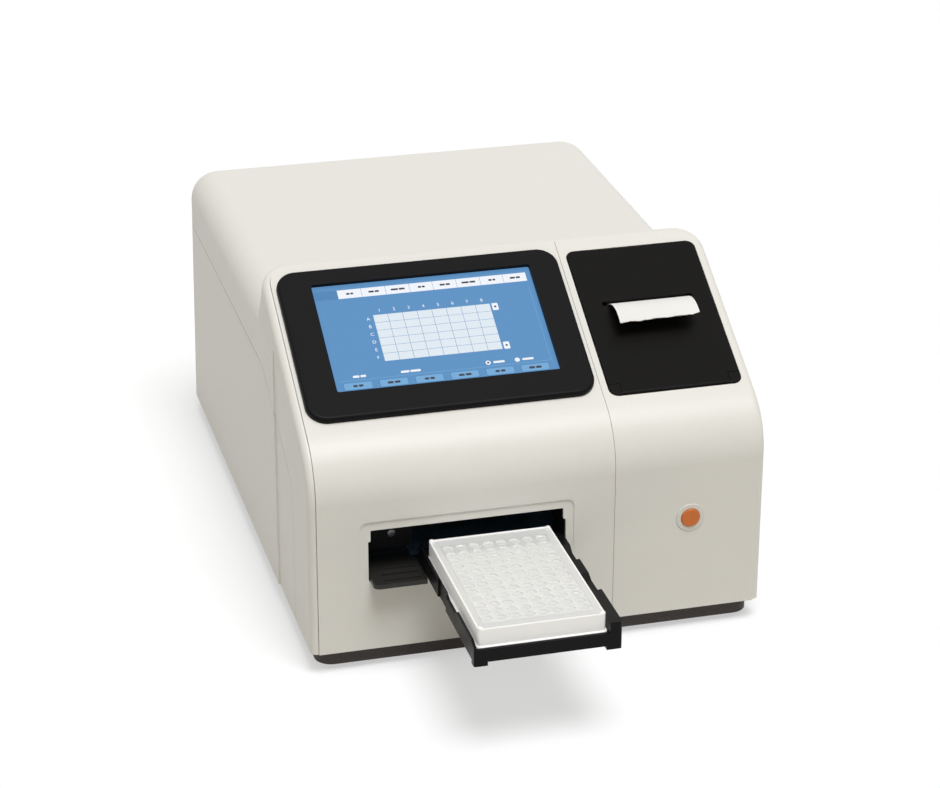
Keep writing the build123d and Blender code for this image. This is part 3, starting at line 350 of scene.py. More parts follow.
@dataclass(frozen=True)
class Galvanised(Finish):
    """Zinc-plated sheet with its faint crystal spangle."""

    def paint(self, shader: Shader) -> bpy.types.Material:
        """Builds the node tree with a spangle of cells."""
        spangle = shader.cells(0.009)
        cloud = shader.noise(0.002, 2.0)
        dark = tuple(c * 0.86 for c in self.colour)
        colour = shader.blend((spangle * 1.2).clamped(), dark, self.colour)
        rough = self.roughness + spangle * 0.14
        return self.end(shader, colour, rough, cloud)


@dataclass(frozen=True)
class Board(Finish):
    """Solder mask over a maze of tracks, with bare pads."""

    def paint(self, shader: Shader) -> bpy.types.Material:
        """Builds the node tree with tracks from quantised cells."""
        place = shader.placed((1, 1, 1))
        bricks = {"Vector": place, "Scale": 90.0, "Mortar Size": 0.03, "Brick Width": 0.9, "Row Height": 0.22}
        tracks = shader.node("ShaderNodeTexBrick", {"offset": 0.37, "squash": 0.6, "squash_frequency": 3}, bricks, 1)
        pads = 1 - (shader.cells(0.0042) > 0.13)
        light = tuple(min(1.0, c * 1.9) for c in self.colour)
        colour = shader.blend(tracks, self.colour, light)
        colour = shader.blend(pads, colour, (0.62, 0.60, 0.52))
        rough = self.roughness + pads * 0.15
        return self.end(shader, colour, rough, tracks)


@dataclass(frozen=True)
class WoundPaper(Finish):
    """Paper wound on a roll: fine rings about the roll's axis on its sides.

    Attributes:
        axis_y: Y of the roll's axis in metres.
        axis_z: Z of the roll's axis in metres.
    """

    axis_y: float = 0.0
    axis_z: float = 0.0

    def paint(self, shader: Shader) -> bpy.types.Material:
        """Builds the node tree with rings about the axis."""
        centred = shader.placed((0, 1, 1), (0, self.axis_y, self.axis_z))
        radius = shader.node("ShaderNodeVectorMath", {"operation": "LENGTH"}, {0: centred}, 1)
        ring = shader.node("ShaderNodeMath", {"operation": "SINE"}, {0: radius * 9000.0})
        ring = ring * 0.5 + 0.5
        fibre = shader.noise(0.0012, 4.0)
        dark = tuple(c * 0.9 for c in self.colour)
        colour = shader.blend(ring * 0.5 + fibre * 0.3, self.colour, dark)
        return self.end(shader, colour, 0.7 + fibre * 0.2, fibre)


@dataclass(frozen=True)
class Clear(Finish):
    """Clear or tinted plastic, glass or film that lets light through.

    Attributes:
        through: share of the light that passes.
    """

    through: float = 0.6

    def paint(self, shader: Shader) -> bpy.types.Material:
        """Builds the node tree with transmission on the shader itself."""
        cloud = shader.noise(0.01, 3.0)
        rough = self.roughness + cloud * 0.04
        return shader.surface(
            Base_Color=self.tone(shader, 0.02), Roughness=rough, Transmission_Weight=self.through, IOR=1.5,
            **self.fixed(),
        )


@dataclass(frozen=True)
class Lit(Finish):
    """A lit part of the display, with the faint raster of its cells."""

    def paint(self, shader: Shader) -> bpy.types.Material:
        """Builds the node tree with its light in the emission."""
        raster = shader.noise(0.0004, 1.0)
        cloud = shader.noise(0.03, 2.0)
        dark, dim = tuple(c * 0.1 for c in self.colour), tuple(c * 0.2 for c in self.colour)
        glow = shader.blend(cloud * 0.5 + raster * 0.1, self.colour, tuple(c * (1 - self.drift) for c in self.colour))
        settings = self.fixed() | {"Emission_Color": glow}
        return shader.surface(Base_Color=shader.blend(raster, dark, dim), Roughness=self.roughness, **settings)


@dataclass(frozen=True)
class Handled(Finish):
    """Smooth plastic with faint finger marks and settled dust."""

    def paint(self, shader: Shader) -> bpy.types.Material:
        """Builds the node tree with smears in the gloss and specks of dust."""
        smear = shader.noise(0.018, 5.0)
        specks = 1 - (shader.cells(0.004) > 0.05)
        grain = shader.noise(self.grain, 2.0)
        mask = (specks * shader.noise(0.03, 2.0) * 0.12).clamped()
        colour = shader.blend(mask, self.tone(shader), (0.2, 0.2, 0.21))
        rough = (self.roughness - 0.08) + smear * 0.16
        return self.end(shader, colour, rough, grain)


class Paint(Enum):
    """Every finish on the machine."""

    HOUSING = Finish("Housing white", "housing_white", (0.80, 0.79, 0.745), 0.42, 0.0006, 0.00003, 0.015)
    BASE = Finish("Base grey", "base_grey", (0.080, 0.072, 0.073), 0.5, 0.0009, 0.00008, 0.08, specular=0.12)
    BEZEL = Handled("Bezel black", "black_gloss", (0.0040, 0.0036, 0.0042), 0.42, 0.0005, 0.00002, 0.1, specular=0.09)
    DOOR = Handled("Door black", "black_gloss", (0.0052, 0.0048, 0.0044), 0.36, 0.0006, 0.00001, 0.1, specular=0.07)
    TUB = Handled("Tub black", "black_plastic", (0.006, 0.0055, 0.0052), 0.36, 0.0006, 0.00001, 0.1, specular=0.07)
    INNER = Finish("Inner black", "black_plastic", (0.007, 0.0065, 0.007), 0.6, 0.0008, 0.00006, 0.15, specular=0.2)
    CARRIER = Finish(
        "Carrier black", "carrier_black", (0.0055, 0.005, 0.0055), 0.34, 0.0008, 0.00006, 0.15,
        specular=0.11,
    )
    # The arm's black is the carrier's black made lighter: a painted highlight for the light that its ribs catch.
    ARM_PAINTED_HIGHLIGHT = Finish("Arm black, painted highlight", "carrier_black", (0.024, 0.0235, 0.022), 0.32, 0.0008, 0.00006, 0.15, specular=0.3)
    RUBBER = Finish("Foot rubber", "rubber", (0.03, 0.03, 0.03), 0.75, 0.0012, 0.0001, 0.15)
    ROLLER = Finish("Roller rubber", "roller_rubber", (0.05, 0.05, 0.055), 0.6, 0.0004, 0.00003, 0.1)
    SHEET = Galvanised("Zinc sheet", "sheet_steel", (0.58, 0.59, 0.60), 0.32, metallic=1.0, depth=0.00002)
    REAR = Finish("Rear panel paint", "rear_paint", (0.60, 0.59, 0.56), 0.5, 0.0011, 0.0001, 0.03)
    STEEL = Brushed("Ground steel", "steel", (0.60, 0.60, 0.61), 0.30, 0.0006, 0.00001, 0.03, 1.0)
    SCREWS = Finish("Screw steel", "steel", (0.42, 0.41, 0.40), 0.34, 0.0008, 0.00002, 0.06, 1.0)
    MOTOR = Finish("Motor can", "steel", (0.22, 0.22, 0.23), 0.4, 0.0008, 0.00004, 0.06, 1.0)
    GLASS = Clear("Cover glass", "screen_glass", (0.03, 0.03, 0.035), 0.12, alpha=0.06, through=0.0, drift=0.0)
    FIELD = Lit("Display field", "lcd", (0.125, 0.320, 0.610), 0.5, drift=0.05, emission=0.90, specular=0.05)
    CHOSEN = Lit("Display dark tab", "lcd", (0.100, 0.270, 0.540), 0.5, drift=0.03, emission=0.90, specular=0.05)
    CELL = Lit("Display cell", "lcd", (0.80, 0.88, 0.95), 0.5, drift=0.03, emission=0.93, specular=0.05)
    WHITE = Lit("Display white", "lcd", (0.88, 0.91, 0.97), 0.5, drift=0.02, emission=1.0, specular=0.05)
    KEY = Lit("Display key", "lcd", (0.200, 0.440, 0.740), 0.5, drift=0.03, emission=0.92, specular=0.05)
    EDGE = Lit("Display line", "lcd", (0.070, 0.220, 0.480), 0.5, drift=0.03, emission=0.75, specular=0.05)
    INK = Finish("Display ink", "lcd", (0.010, 0.012, 0.030), 0.5, drift=0.01, depth=0.0)
    ORANGE = Handled("Button orange", "orange_cap", (0.62, 0.15, 0.013), 0.30, 0.0004, 0.00001, 0.05, emission=0.04)
    RING = Finish("Button ring", "ring_white", (0.76, 0.74, 0.69), 0.36, 0.0005, 0.00002, 0.015)
    PAPER = Finish("Receipt paper", "paper", (0.87, 0.865, 0.85), 0.72, 0.0009, 0.00003, 0.02)
    # The plate's emission, and the wells' below, is a painted glow that stands in for light passing through the
    # translucent polystyrene.
    PLATE_WHITE_PAINTED_GLOW = Finish("Plate white, painted glow", "plate_white", (0.87, 0.865, 0.86), 0.24, 0.002, 0.00001, 0.012, emission=0.17)
    WELL_PAINTED_GLOW = Clear("Well clear, painted glow", "well_clear", (0.85, 0.855, 0.85), 0.16, through=0.25, drift=0.01, emission=0.03)
    ALUMINIUM = Brushed(
        "Machined aluminium", "aluminium", (0.68, 0.69, 0.70), 0.34, 0.0007, 0.00002, 0.03, 1.0,
        along=0,
    )
    LENS = Clear("Coated glass", "glass", (0.90, 0.96, 0.95), 0.03, through=0.95, drift=0.03)
    FILTER = Clear("Filter glass", "glass", (0.55, 0.28, 0.62), 0.04, through=0.5, drift=0.25)
    FIBRE = Finish("Guide sleeve", "black_plastic", (0.02, 0.02, 0.022), 0.5, 0.0006, 0.00004, 0.1)
    BOARD = Board("Solder mask", "circuit", (0.022, 0.15, 0.055), 0.28, depth=0.00003)
    CHIP = Finish("Chip resin", "black_plastic", (0.02, 0.02, 0.021), 0.5, 0.0005, 0.00003, 0.1)
    CAN = Brushed("Capacitor can", "aluminium", (0.55, 0.56, 0.58), 0.3, 0.0005, 0.00001, 0.03, 1.0, along=2)
    CONNECTOR = Finish("Header white", "gear_plastic", (0.75, 0.73, 0.66), 0.45, 0.0006, 0.00003, 0.03)
    GOLD = Finish("Contact gold", "steel", (0.78, 0.56, 0.20), 0.25, 0.0005, 0.00001, 0.04, 1.0)
    ACETAL = Finish("Acetal", "gear_plastic", (0.80, 0.78, 0.72), 0.4, 0.0006, 0.00002, 0.02)
    NUT = Finish("Nut acetal", "bronze_nut", (0.80, 0.77, 0.69), 0.42, 0.0006, 0.00003, 0.03)
    SPRING = Brushed("Spring steel", "steel", (0.50, 0.50, 0.52), 0.25, 0.0004, 0.00001, 0.03, 1.0)

    def material(self) -> bpy.types.Material:
        """The finish's material."""
        return self.value.material()


ROLL_AXIS = (-0.154281, 0.154337)
WOUND = WoundPaper("Wound paper", "paper", (0.85, 0.845, 0.82), 0.7, axis_y=ROLL_AXIS[0], axis_z=ROLL_AXIS[1])


# ---------------------------------------------------------------- placing and meshing
@dataclass(frozen=True)
class Surface:
    """A plane on the machine that pieces are laid on, in millimetres.

    Attributes:
        origin: a point on the plane.
        across: unit vector of the first coordinate.
        normal: unit vector out of the surface.
    """

    origin: tuple[float, float, float]
    across: tuple[float, float, float]
    normal: tuple[float, float, float]

    def matrix(self) -> Matrix:
        """Turns the plane's millimetres into the frame's metres."""
        x, z = Vector(self.across), Vector(self.normal)
        y = z.cross(x)
        turned = Matrix((x, y, z)).transposed().to_4x4()
        return Matrix.Scale(MM, 4) @ Matrix.Translation(self.origin) @ turned


SLOPE_TILT = math.radians(28.9)
REAR_LEAN = math.atan2(18.0, 191.0)
SLOPE = Surface((0, -205.24836, 163.8963), (1, 0, 0), (0, -math.sin(SLOPE_TILT), math.cos(SLOPE_TILT)))
REAR = Surface((0, 228.5, 15.5), (-1, 0, 0), (0, math.cos(REAR_LEAN), math.sin(REAR_LEAN)))
LEVEL = Surface((0, 0, 0), (1, 0, 0), (0, 0, 1))


def rounded(width: float, length: float, radius: float, inset: float = 0.0, steps: int = 6) -> list[Point]:
    """Outline of a rectangle with rounded corners.

    Args:
        width: size along the first axis.
        length: size along the second.
        radius: corner radius before the inset.
        inset: how far the outline is drawn in.
        steps: segments in each corner.

    Returns:
        Points anticlockwise about the middle.
    """
    radius = max(radius - inset, 0.02)
    half_w, half_l = width / 2 - inset - radius, length / 2 - inset - radius
    points = []
    for corner in range(4):
        sx, sy = ((1, 1), (-1, 1), (-1, -1), (1, -1))[corner]
        for step in range(steps + 1):
            angle = math.pi / 2 * (corner + step / steps)
            points.append((sx * half_w + radius * math.cos(angle), sy * half_l + radius * math.sin(angle)))
    return points


def circle(radius: float, level: float, steps: int) -> list[tuple[float, float, float]]:
    """Points on a level circle about Z.

    Args:
        radius: its radius.
        level: its height.
        steps: how many points.

    Returns:
        The points, anticlockwise.
    """
    angles = [2 * math.pi * i / steps for i in range(steps)]
    return [(radius * math.cos(a), radius * math.sin(a), level) for a in angles]


class Mesh:
    """A mesh under construction, in a surface's millimetres."""

    def __init__(self) -> None:
        """Starts empty."""
        self.bm = bmesh.new()

    def loft(self, rings: Sequence[Sequence[Sequence[float]]], caps: bool = True) -> None:
        """Joins rings of points.

        Args:
            rings: loops with the same number of points each.
            caps: whether the first and last ring are filled.
        """
        loops = [[self.bm.verts.new(point) for point in ring] for ring in rings]
        count = len(loops[0])
        for lower, upper in zip(loops, loops[1:]):
            for i in range(count):
                j = (i + 1) % count
                self.bm.faces.new((lower[i], lower[j], upper[j], upper[i]))
        if caps:
            self.bm.faces.new(loops[0][::-1])
            self.bm.faces.new(loops[-1])

    def pad(self, centre: Point, size: Point, radius: float, profile: Sequence[Point], steps: int = 5) -> None:
        """Adds a rounded block whose edge follows a profile.

        Args:
            centre: its middle on the surface.
            size: width and length.
            radius: corner radius.
            profile: (inset, height) pairs from bottom to top.
            steps: segments in each corner.
        """
        rings = []
        for inset, height in profile:
            outline = rounded(*size, radius, inset, steps)
            rings.append([(centre[0] + x, centre[1] + y, height) for x, y in outline])
        self.loft(rings)

    def block(self, low: Sequence[float], high: Sequence[float], corner: float = 0.4, edge: float = 0.15) -> None:
        """Adds a box with rounded upright corners and chamfered ends.

        Args:
            low: its lowest corner.
            high: its highest corner.
            corner: radius of the upright corners.
            edge: chamfer of the ends.
        """
        middle = ((low[0] + high[0]) / 2, (low[1] + high[1]) / 2)
        profile = [(edge, low[2]), (0, low[2] + edge), (0, high[2] - edge), (edge, high[2])]
        self.pad(middle, (high[0] - low[0], high[1] - low[1]), corner, profile, 3)

    def lathe(self, profile: Sequence[Point], place: Matrix | None = None, steps: int = 24) -> None:
        """Turns a profile about Z.

        Args:
            profile: (radius, height) pairs; one that ends where it starts makes a ring, and others are closed.
            place: where the turned form goes.
            steps: segments round.
        """
        place = place or Matrix.Identity(4)
        rings = []
        for radius, height in profile:
            ring = circle(radius, height, 1 if radius == 0 else steps)
            rings.append([self.bm.verts.new(place @ Vector(point)) for point in ring])
        for lower, upper in zip(rings, rings[1:]):
            for i in range(steps):
                j = (i + 1) % steps
                corners = [lower[i % len(lower)], lower[j % len(lower)], upper[j % len(upper)], upper[i % len(upper)]]
                self.bm.faces.new(list(dict.fromkeys(corners)))
        is_ring = math.dist(profile[0], profile[-1]) < 1e-6
        for ring, flip in ((rings[0], True), (rings[-1], False)):
            if len(ring) > 1 and not is_ring:
                self.bm.faces.new(ring[::-1] if flip else ring)

    def piece(self, name: str, paint: Paint, surface: Surface = LEVEL, smooth: float = 35.0) -> bpy.types.Object:
        """Ends the mesh as an object in the frame's metres.

        Args:
            name: the piece's name.
            paint: its finish.
            surface: what its coordinates are on.
            smooth: edges sharper than this, in degrees, stay sharp.

        Returns:
            The object.
        """
        bmesh.ops.remove_doubles(self.bm, verts=self.bm.verts, dist=1e-4)
        bmesh.ops.transform(self.bm, matrix=surface.matrix(), verts=self.bm.verts)
        bmesh.ops.recalc_face_normals(self.bm, faces=self.bm.faces)
        mesh = bpy.data.meshes.new(name)
        self.bm.to_mesh(mesh)
        self.bm.free()
        return as_piece(name, mesh, paint, smooth)


def as_piece(name: str, mesh: bpy.types.Mesh, paint: Paint, smooth: float = 35.0) -> bpy.types.Object:
    """Makes an object of a mesh that is already in place.

    Args:
        name: the piece's name.
        mesh: its mesh.
        paint: its finish.
        smooth: edges sharper than this, in degrees, stay sharp.

    Returns:
        The object.
    """
    mesh.materials.clear()
    mesh.materials.append(paint.material())
    mesh.shade_smooth()
    mesh.set_sharp_from_angle(angle=math.radians(smooth))
    piece = bpy.data.objects.new(name, mesh)
    bpy.context.scene.collection.objects.link(piece)
    return piece


def fit(piece: bpy.types.Object, body: str, slot: str, *nodes: str) -> bpy.types.Object:
    """Puts a finished piece on its body.

    Args:
        piece: the object.
        body: the body that it moves with.
        slot: the record's material slot; not used.
        *nodes: CAD nodes that it stands for.

    Returns:
        The same object.
    """
    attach(piece, body)
    if nodes:
        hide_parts(*nodes)
    LOG.info("%s rides on %s with %d faces", piece.name, body, len(piece.data.polygons))
    return piece


def paint_nodes(paint: Paint, *nodes: str) -> None:
    """Gives CAD nodes their finish.

    Args:
        paint: the finish.
        *nodes: the nodes' names.
    """
    for name in nodes:
        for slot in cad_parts[name].material_slots:
            slot.material = paint.material()
        LOG.info("%s is finished in %s", name, paint.value.name)


class Repeater(NodeGraph):
    """A Geometry Nodes tree with named inputs that ends in a plain mesh."""

    def __init__(self, name: str) -> None:
        """Starts a tree with an output for its geometry."""
        super().__init__(bpy.data.node_groups.new(name, "GeometryNodeTree"))
        self.tree.interface.new_socket("Geometry", in_out="OUTPUT", socket_type="NodeSocketGeometry")
        self.values: dict[str, Any] = {}
        self.inputs = self.tree.nodes.new("NodeGroupInput")

    def given(self, name: str, kind: str, value: Any) -> Wire:
        """Adds a named input.

        Args:
            name: what it is called.
            kind: Float, Int, Vector, Object or Material.
            value: what the modifier sets it to.

        Returns:
            The input's value in the tree.
        """
        item = self.tree.interface.new_socket(name, in_out="INPUT", socket_type=f"NodeSocket{kind}")
        self.values[item.identifier] = value
        return Wire(self, self.inputs.outputs[name])

    def made(self, name: str, geometry: Wire, paint: Paint, surface: Surface = LEVEL) -> bpy.types.Object:
        """Realises the instances, sets the finish and makes a plain mesh piece of the result.

        Args:
            name: the piece's name.
            geometry: what the tree has made, in the surface's millimetres.
            paint: its finish.
            surface: what its coordinates are on.

        Returns:
            The piece, its place in its mesh.
        """
        finish = self.given("Finish", "Material", paint.material())
        real = self.node("GeometryNodeRealizeInstances", {}, {0: geometry})
        set_up = self.node("GeometryNodeSetMaterial", {}, {"Geometry": real, "Material": finish})
        self.node("NodeGroupOutput", {}, {0: set_up})
        carrier = bpy.data.objects.new(name + "_tree", bpy.data.meshes.new(name + "_tree"))
        bpy.context.scene.collection.objects.link(carrier)
        modifier = carrier.modifiers.new("Repeat", "NODES")
        modifier.node_group = self.tree
        for identifier, value in self.values.items():
            modifier[identifier] = value
        bpy.context.view_layer.update()
        evaluated = carrier.evaluated_get(bpy.context.evaluated_depsgraph_get())
        mesh = bpy.data.meshes.new_from_object(evaluated)
        bpy.data.objects.remove(carrier)
        mesh.transform(surface.matrix())
        mesh.name = name
        return as_piece(name, mesh, paint)


def pattern(build: Callable[[Mesh], None], name: str) -> bpy.types.Object:
    """Makes the object that a tree repeats, kept out of the scene.

    Args:
        build: fills the mesh, in millimetres.
        name: the object's name.

    Returns:
        An object that is in no collection.
    """
    mould = Mesh()
    build(mould)
    bmesh.ops.remove_doubles(mould.bm, verts=mould.bm.verts, dist=1e-4)
    bmesh.ops.recalc_face_normals(mould.bm, faces=mould.bm.faces)
    mesh = bpy.data.meshes.new(name)
    mould.bm.to_mesh(mesh)
    mould.bm.free()
    return bpy.data.objects.new(name, mesh)


def at_points(name: str, unit: bpy.types.Object, points: Iterable[Sequence[float]], paint: Paint,
              surface: Surface = LEVEL, turn: tuple[float, float, float] = (0, 0, 0)) -> bpy.types.Object:
    """Repeats a unit at given points with a Geometry Nodes tree.

    Args:
        name: the piece's name.
        unit: what is repeated, in millimetres.
        points: places, in the surface's millimetres.
        paint: its finish.
        surface: what the points are on.
        turn: rotation of each unit in radians.

    Returns:
        The piece.
    """
    places = bpy.data.meshes.new(name + "_places")
    places.from_pydata([tuple(p) for p in points], [], [])
    anchor = bpy.data.objects.new(name + "_places", places)
    tree = Repeater(name)
    where = tree.node("GeometryNodeObjectInfo", {}, {"Object": tree.given("Places", "Object", anchor)}, "Geometry")
    what = tree.node("GeometryNodeObjectInfo", {}, {"Object": tree.given("Unit", "Object", unit)}, "Geometry")
    turned = tree.given("Turn", "Vector", turn)
    spread = {"Points": where, "Instance": what, "Rotation": turned}
    copies = tree.node("GeometryNodeInstanceOnPoints", {}, spread)
    return tree.made(name, copies, paint, surface)


def repeat(name: str, build: Callable[[Mesh], None], points: Iterable[Sequence[float]], paint: Paint,
           surface: Surface = LEVEL, body: str = "root", turn: float = 0.0) -> None:
    """Repeats what a function builds at given points and puts the piece on its body.

    Args:
        name: the piece's name.
        build: fills a mesh with the unit, in millimetres.
        points: places, in the surface's millimetres.
        paint: its finish.
        surface: what the points are on.
        body: the body that it moves with.
        turn: turn of each unit about the surface's normal, in radians.
    """
    made = at_points(name, pattern(build, name + "_unit"), points, paint, surface, (0.0, 0.0, turn))
    fit(made, body, paint.value.slot)


def blocks(name: str, boxes: Sequence[tuple[float, ...]], paint: Paint, body: str = "root",
           surface: Surface = LEVEL, corner: float = 0.4, edge: float = 0.15) -> None:
    """Makes one piece of several chamfered boxes.

    Args:
        name: the piece's name.
        boxes: (x0, x1, y0, y1, z0, z1) of each, in the surface's millimetres.
        paint: their finish.
        body: the body that they move with.
        surface: what they are on.
        corner: radius of their upright corners.
        edge: chamfer of their ends.
    """
    mould = Mesh()
    for x0, x1, y0, y1, z0, z1 in boxes:
        mould.block((x0, y0, z0), (x1, y1, z1), corner, edge)
    fit(mould.piece(name, paint, surface), body, paint.value.slot)


def socket_screw(radius: float, height: float) -> Callable[[Mesh], None]:
    """A cap screw's head with its hexagon socket, standing on Z zero.

    Args:
        radius: of the head.
        height: of the head.

    Returns:
        What fills a mesh with it.
    """

    def fill(mould: Mesh) -> None:
        """Adds the head to the mesh."""
        def ring(size: float, level: float, sides: int = 12) -> list[tuple[float, float, float]]:
            """Points of a level ring, drawn to a hexagon where sides is 6."""
            points = []
            for i in range(12):
                a = 2 * math.pi * i / 12
                reach = size if sides == 12 or i % 2 == 0 else size * math.cos(math.pi / 6)
                points.append((reach * math.cos(a), reach * math.sin(a), level))
            return points

        mould.loft([
            ring(radius, 0.0), ring(radius, height * 0.85), ring(radius * 0.9, height), ring(radius * 0.55, height, 6),
            ring(radius * 0.5, height * 0.4, 6),
        ])

    return fill


def scatter(name: str, unit: bpy.types.Object, area: tuple[float, float, float, float], level: float, density: float,
            seed: int, paint: Paint) -> None:
    """Scatters a unit over an area with a Geometry Nodes tree, at quarter turns.

    Args:
        name: the piece's name.
        unit: what is scattered, in millimetres.
        area: (x0, x1, y0, y1) in millimetres.
        level: height of the area.
        density: units to the square millimetre.
        seed: fixed seed.
        paint: its finish.
    """
    x0, x1, y0, y1 = area
    tree = Repeater(name)
    width, length = tree.given("Width", "Float", x1 - x0), tree.given("Length", "Float", y1 - y0)
    middle = tree.given("Middle", "Vector", ((x0 + x1) / 2, (y0 + y1) / 2, level))
    fixed = tree.given("Seed", "Int", seed)
    grid = tree.node("GeometryNodeMeshGrid", {}, {"Size X": width, "Size Y": length})
    moved = tree.node("GeometryNodeTransform", {}, {"Geometry": grid, "Translation": middle})
    spread = {"Mesh": moved, "Density": tree.given("Density", "Float", density), "Seed": fixed}
    points = tree.node("GeometryNodeDistributePointsOnFaces", {"distribute_method": "RANDOM"}, spread)
    what = tree.node("GeometryNodeObjectInfo", {}, {"Object": tree.given("Unit", "Object", unit)}, "Geometry")
    quarter = tree.node("FunctionNodeRandomValue", {"data_type": "INT"}, {4: 0, 5: 3, 8: fixed}, 2)
    turn = tree.node("ShaderNodeCombineXYZ", {}, {2: quarter * (math.pi / 2)})
    copies = tree.node("GeometryNodeInstanceOnPoints", {}, {"Points": points, "Instance": what, "Rotation": turn})
    fit(tree.made(name, copies, paint), "root", paint.value.slot)


def lettering(name: str, words: Sequence[tuple[str, float, float]], size: float, height: float, paint: Paint,
              surface: Surface) -> bpy.types.Object:
    """Flat printed characters on a surface.

    Args:
        name: the piece's name.
        words: (character, across, along) in millimetres, each centred on its place.
        size: character height in millimetres.
        height: how far above the surface they lie.
        paint: their finish.
        surface: what they are on.

    Returns:
        The piece.
    """
    sheet = bmesh.new()
    for word, across, along in words:
        text = bpy.data.curves.new(name + "_text", "FONT")
        text.body = word
        text.size = size * 1.4
        text.align_x, text.align_y = "CENTER", "CENTER"
        text.extrude = 0.02
        holder = bpy.data.objects.new(name + "_text", text)
        bpy.context.scene.collection.objects.link(holder)
        evaluated = holder.evaluated_get(bpy.context.evaluated_depsgraph_get())
        glyph = bpy.data.meshes.new_from_object(evaluated)
        bpy.data.objects.remove(holder)
        glyph.transform(Matrix.Translation((across, along, height)))
        sheet.from_mesh(glyph)
        bpy.data.meshes.remove(glyph)
    bmesh.ops.transform(sheet, matrix=surface.matrix(), verts=sheet.verts)
    mesh = bpy.data.meshes.new(name)
    sheet.to_mesh(mesh)
    sheet.free()
    return as_piece(name, mesh, paint)


# ---------------------------------------------------------------- housing
@dataclass
class Housing:
    """Moulded shells, fascias, base and feet.

    Attributes:
        foot_places: middles of the feet, in millimetres.
        foot: radius and height of a foot.
    """

    foot_places: tuple[Point, ...] = ((-130.0, -194.5), (-130.0, 194.5), (130.0, -194.5), (130.0, 194.5))
    foot: Point = (11.0, 4.5)

    def foot_unit(self, mould: Mesh) -> None:
        """One foot with its grooved tread and the recess of its screw.

        Args:
            mould: the mesh to fill.
        """
        radius, height = self.foot
        mould.lathe([
            (0, 1.6), (3.0, 1.6), (3.0, 0.3), (3.4, 0.0), (5.4, 0.0), (5.7, 0.5), (6.5, 0.5), (6.8, 0.0), (8.4, 0.0),
            (8.7, 0.5), (9.4, 0.5), (9.6, 0.1), (radius - 0.5, 0.35), (radius, 1.1), (radius, height), (0, height),
        ], None, 28)

    def build(self) -> None:
        """Finishes the shells, the base and its feet."""
        unit = pattern(self.foot_unit, "foot_unit")
        feet = at_points("grooved_feet", unit, [(x, y, 0.0) for x, y in self.foot_places], Paint.RUBBER)
        fit(feet, "root", "rubber", "rubber_feet")
        paint_nodes(Paint.HOUSING, "upper_housing", "lower_housing", "screen_fascia", "printer_fascia")
        paint_nodes(Paint.BASE, "base_plate")
        paint_nodes(Paint.INNER, "tray_shroud", "tray_baffle")


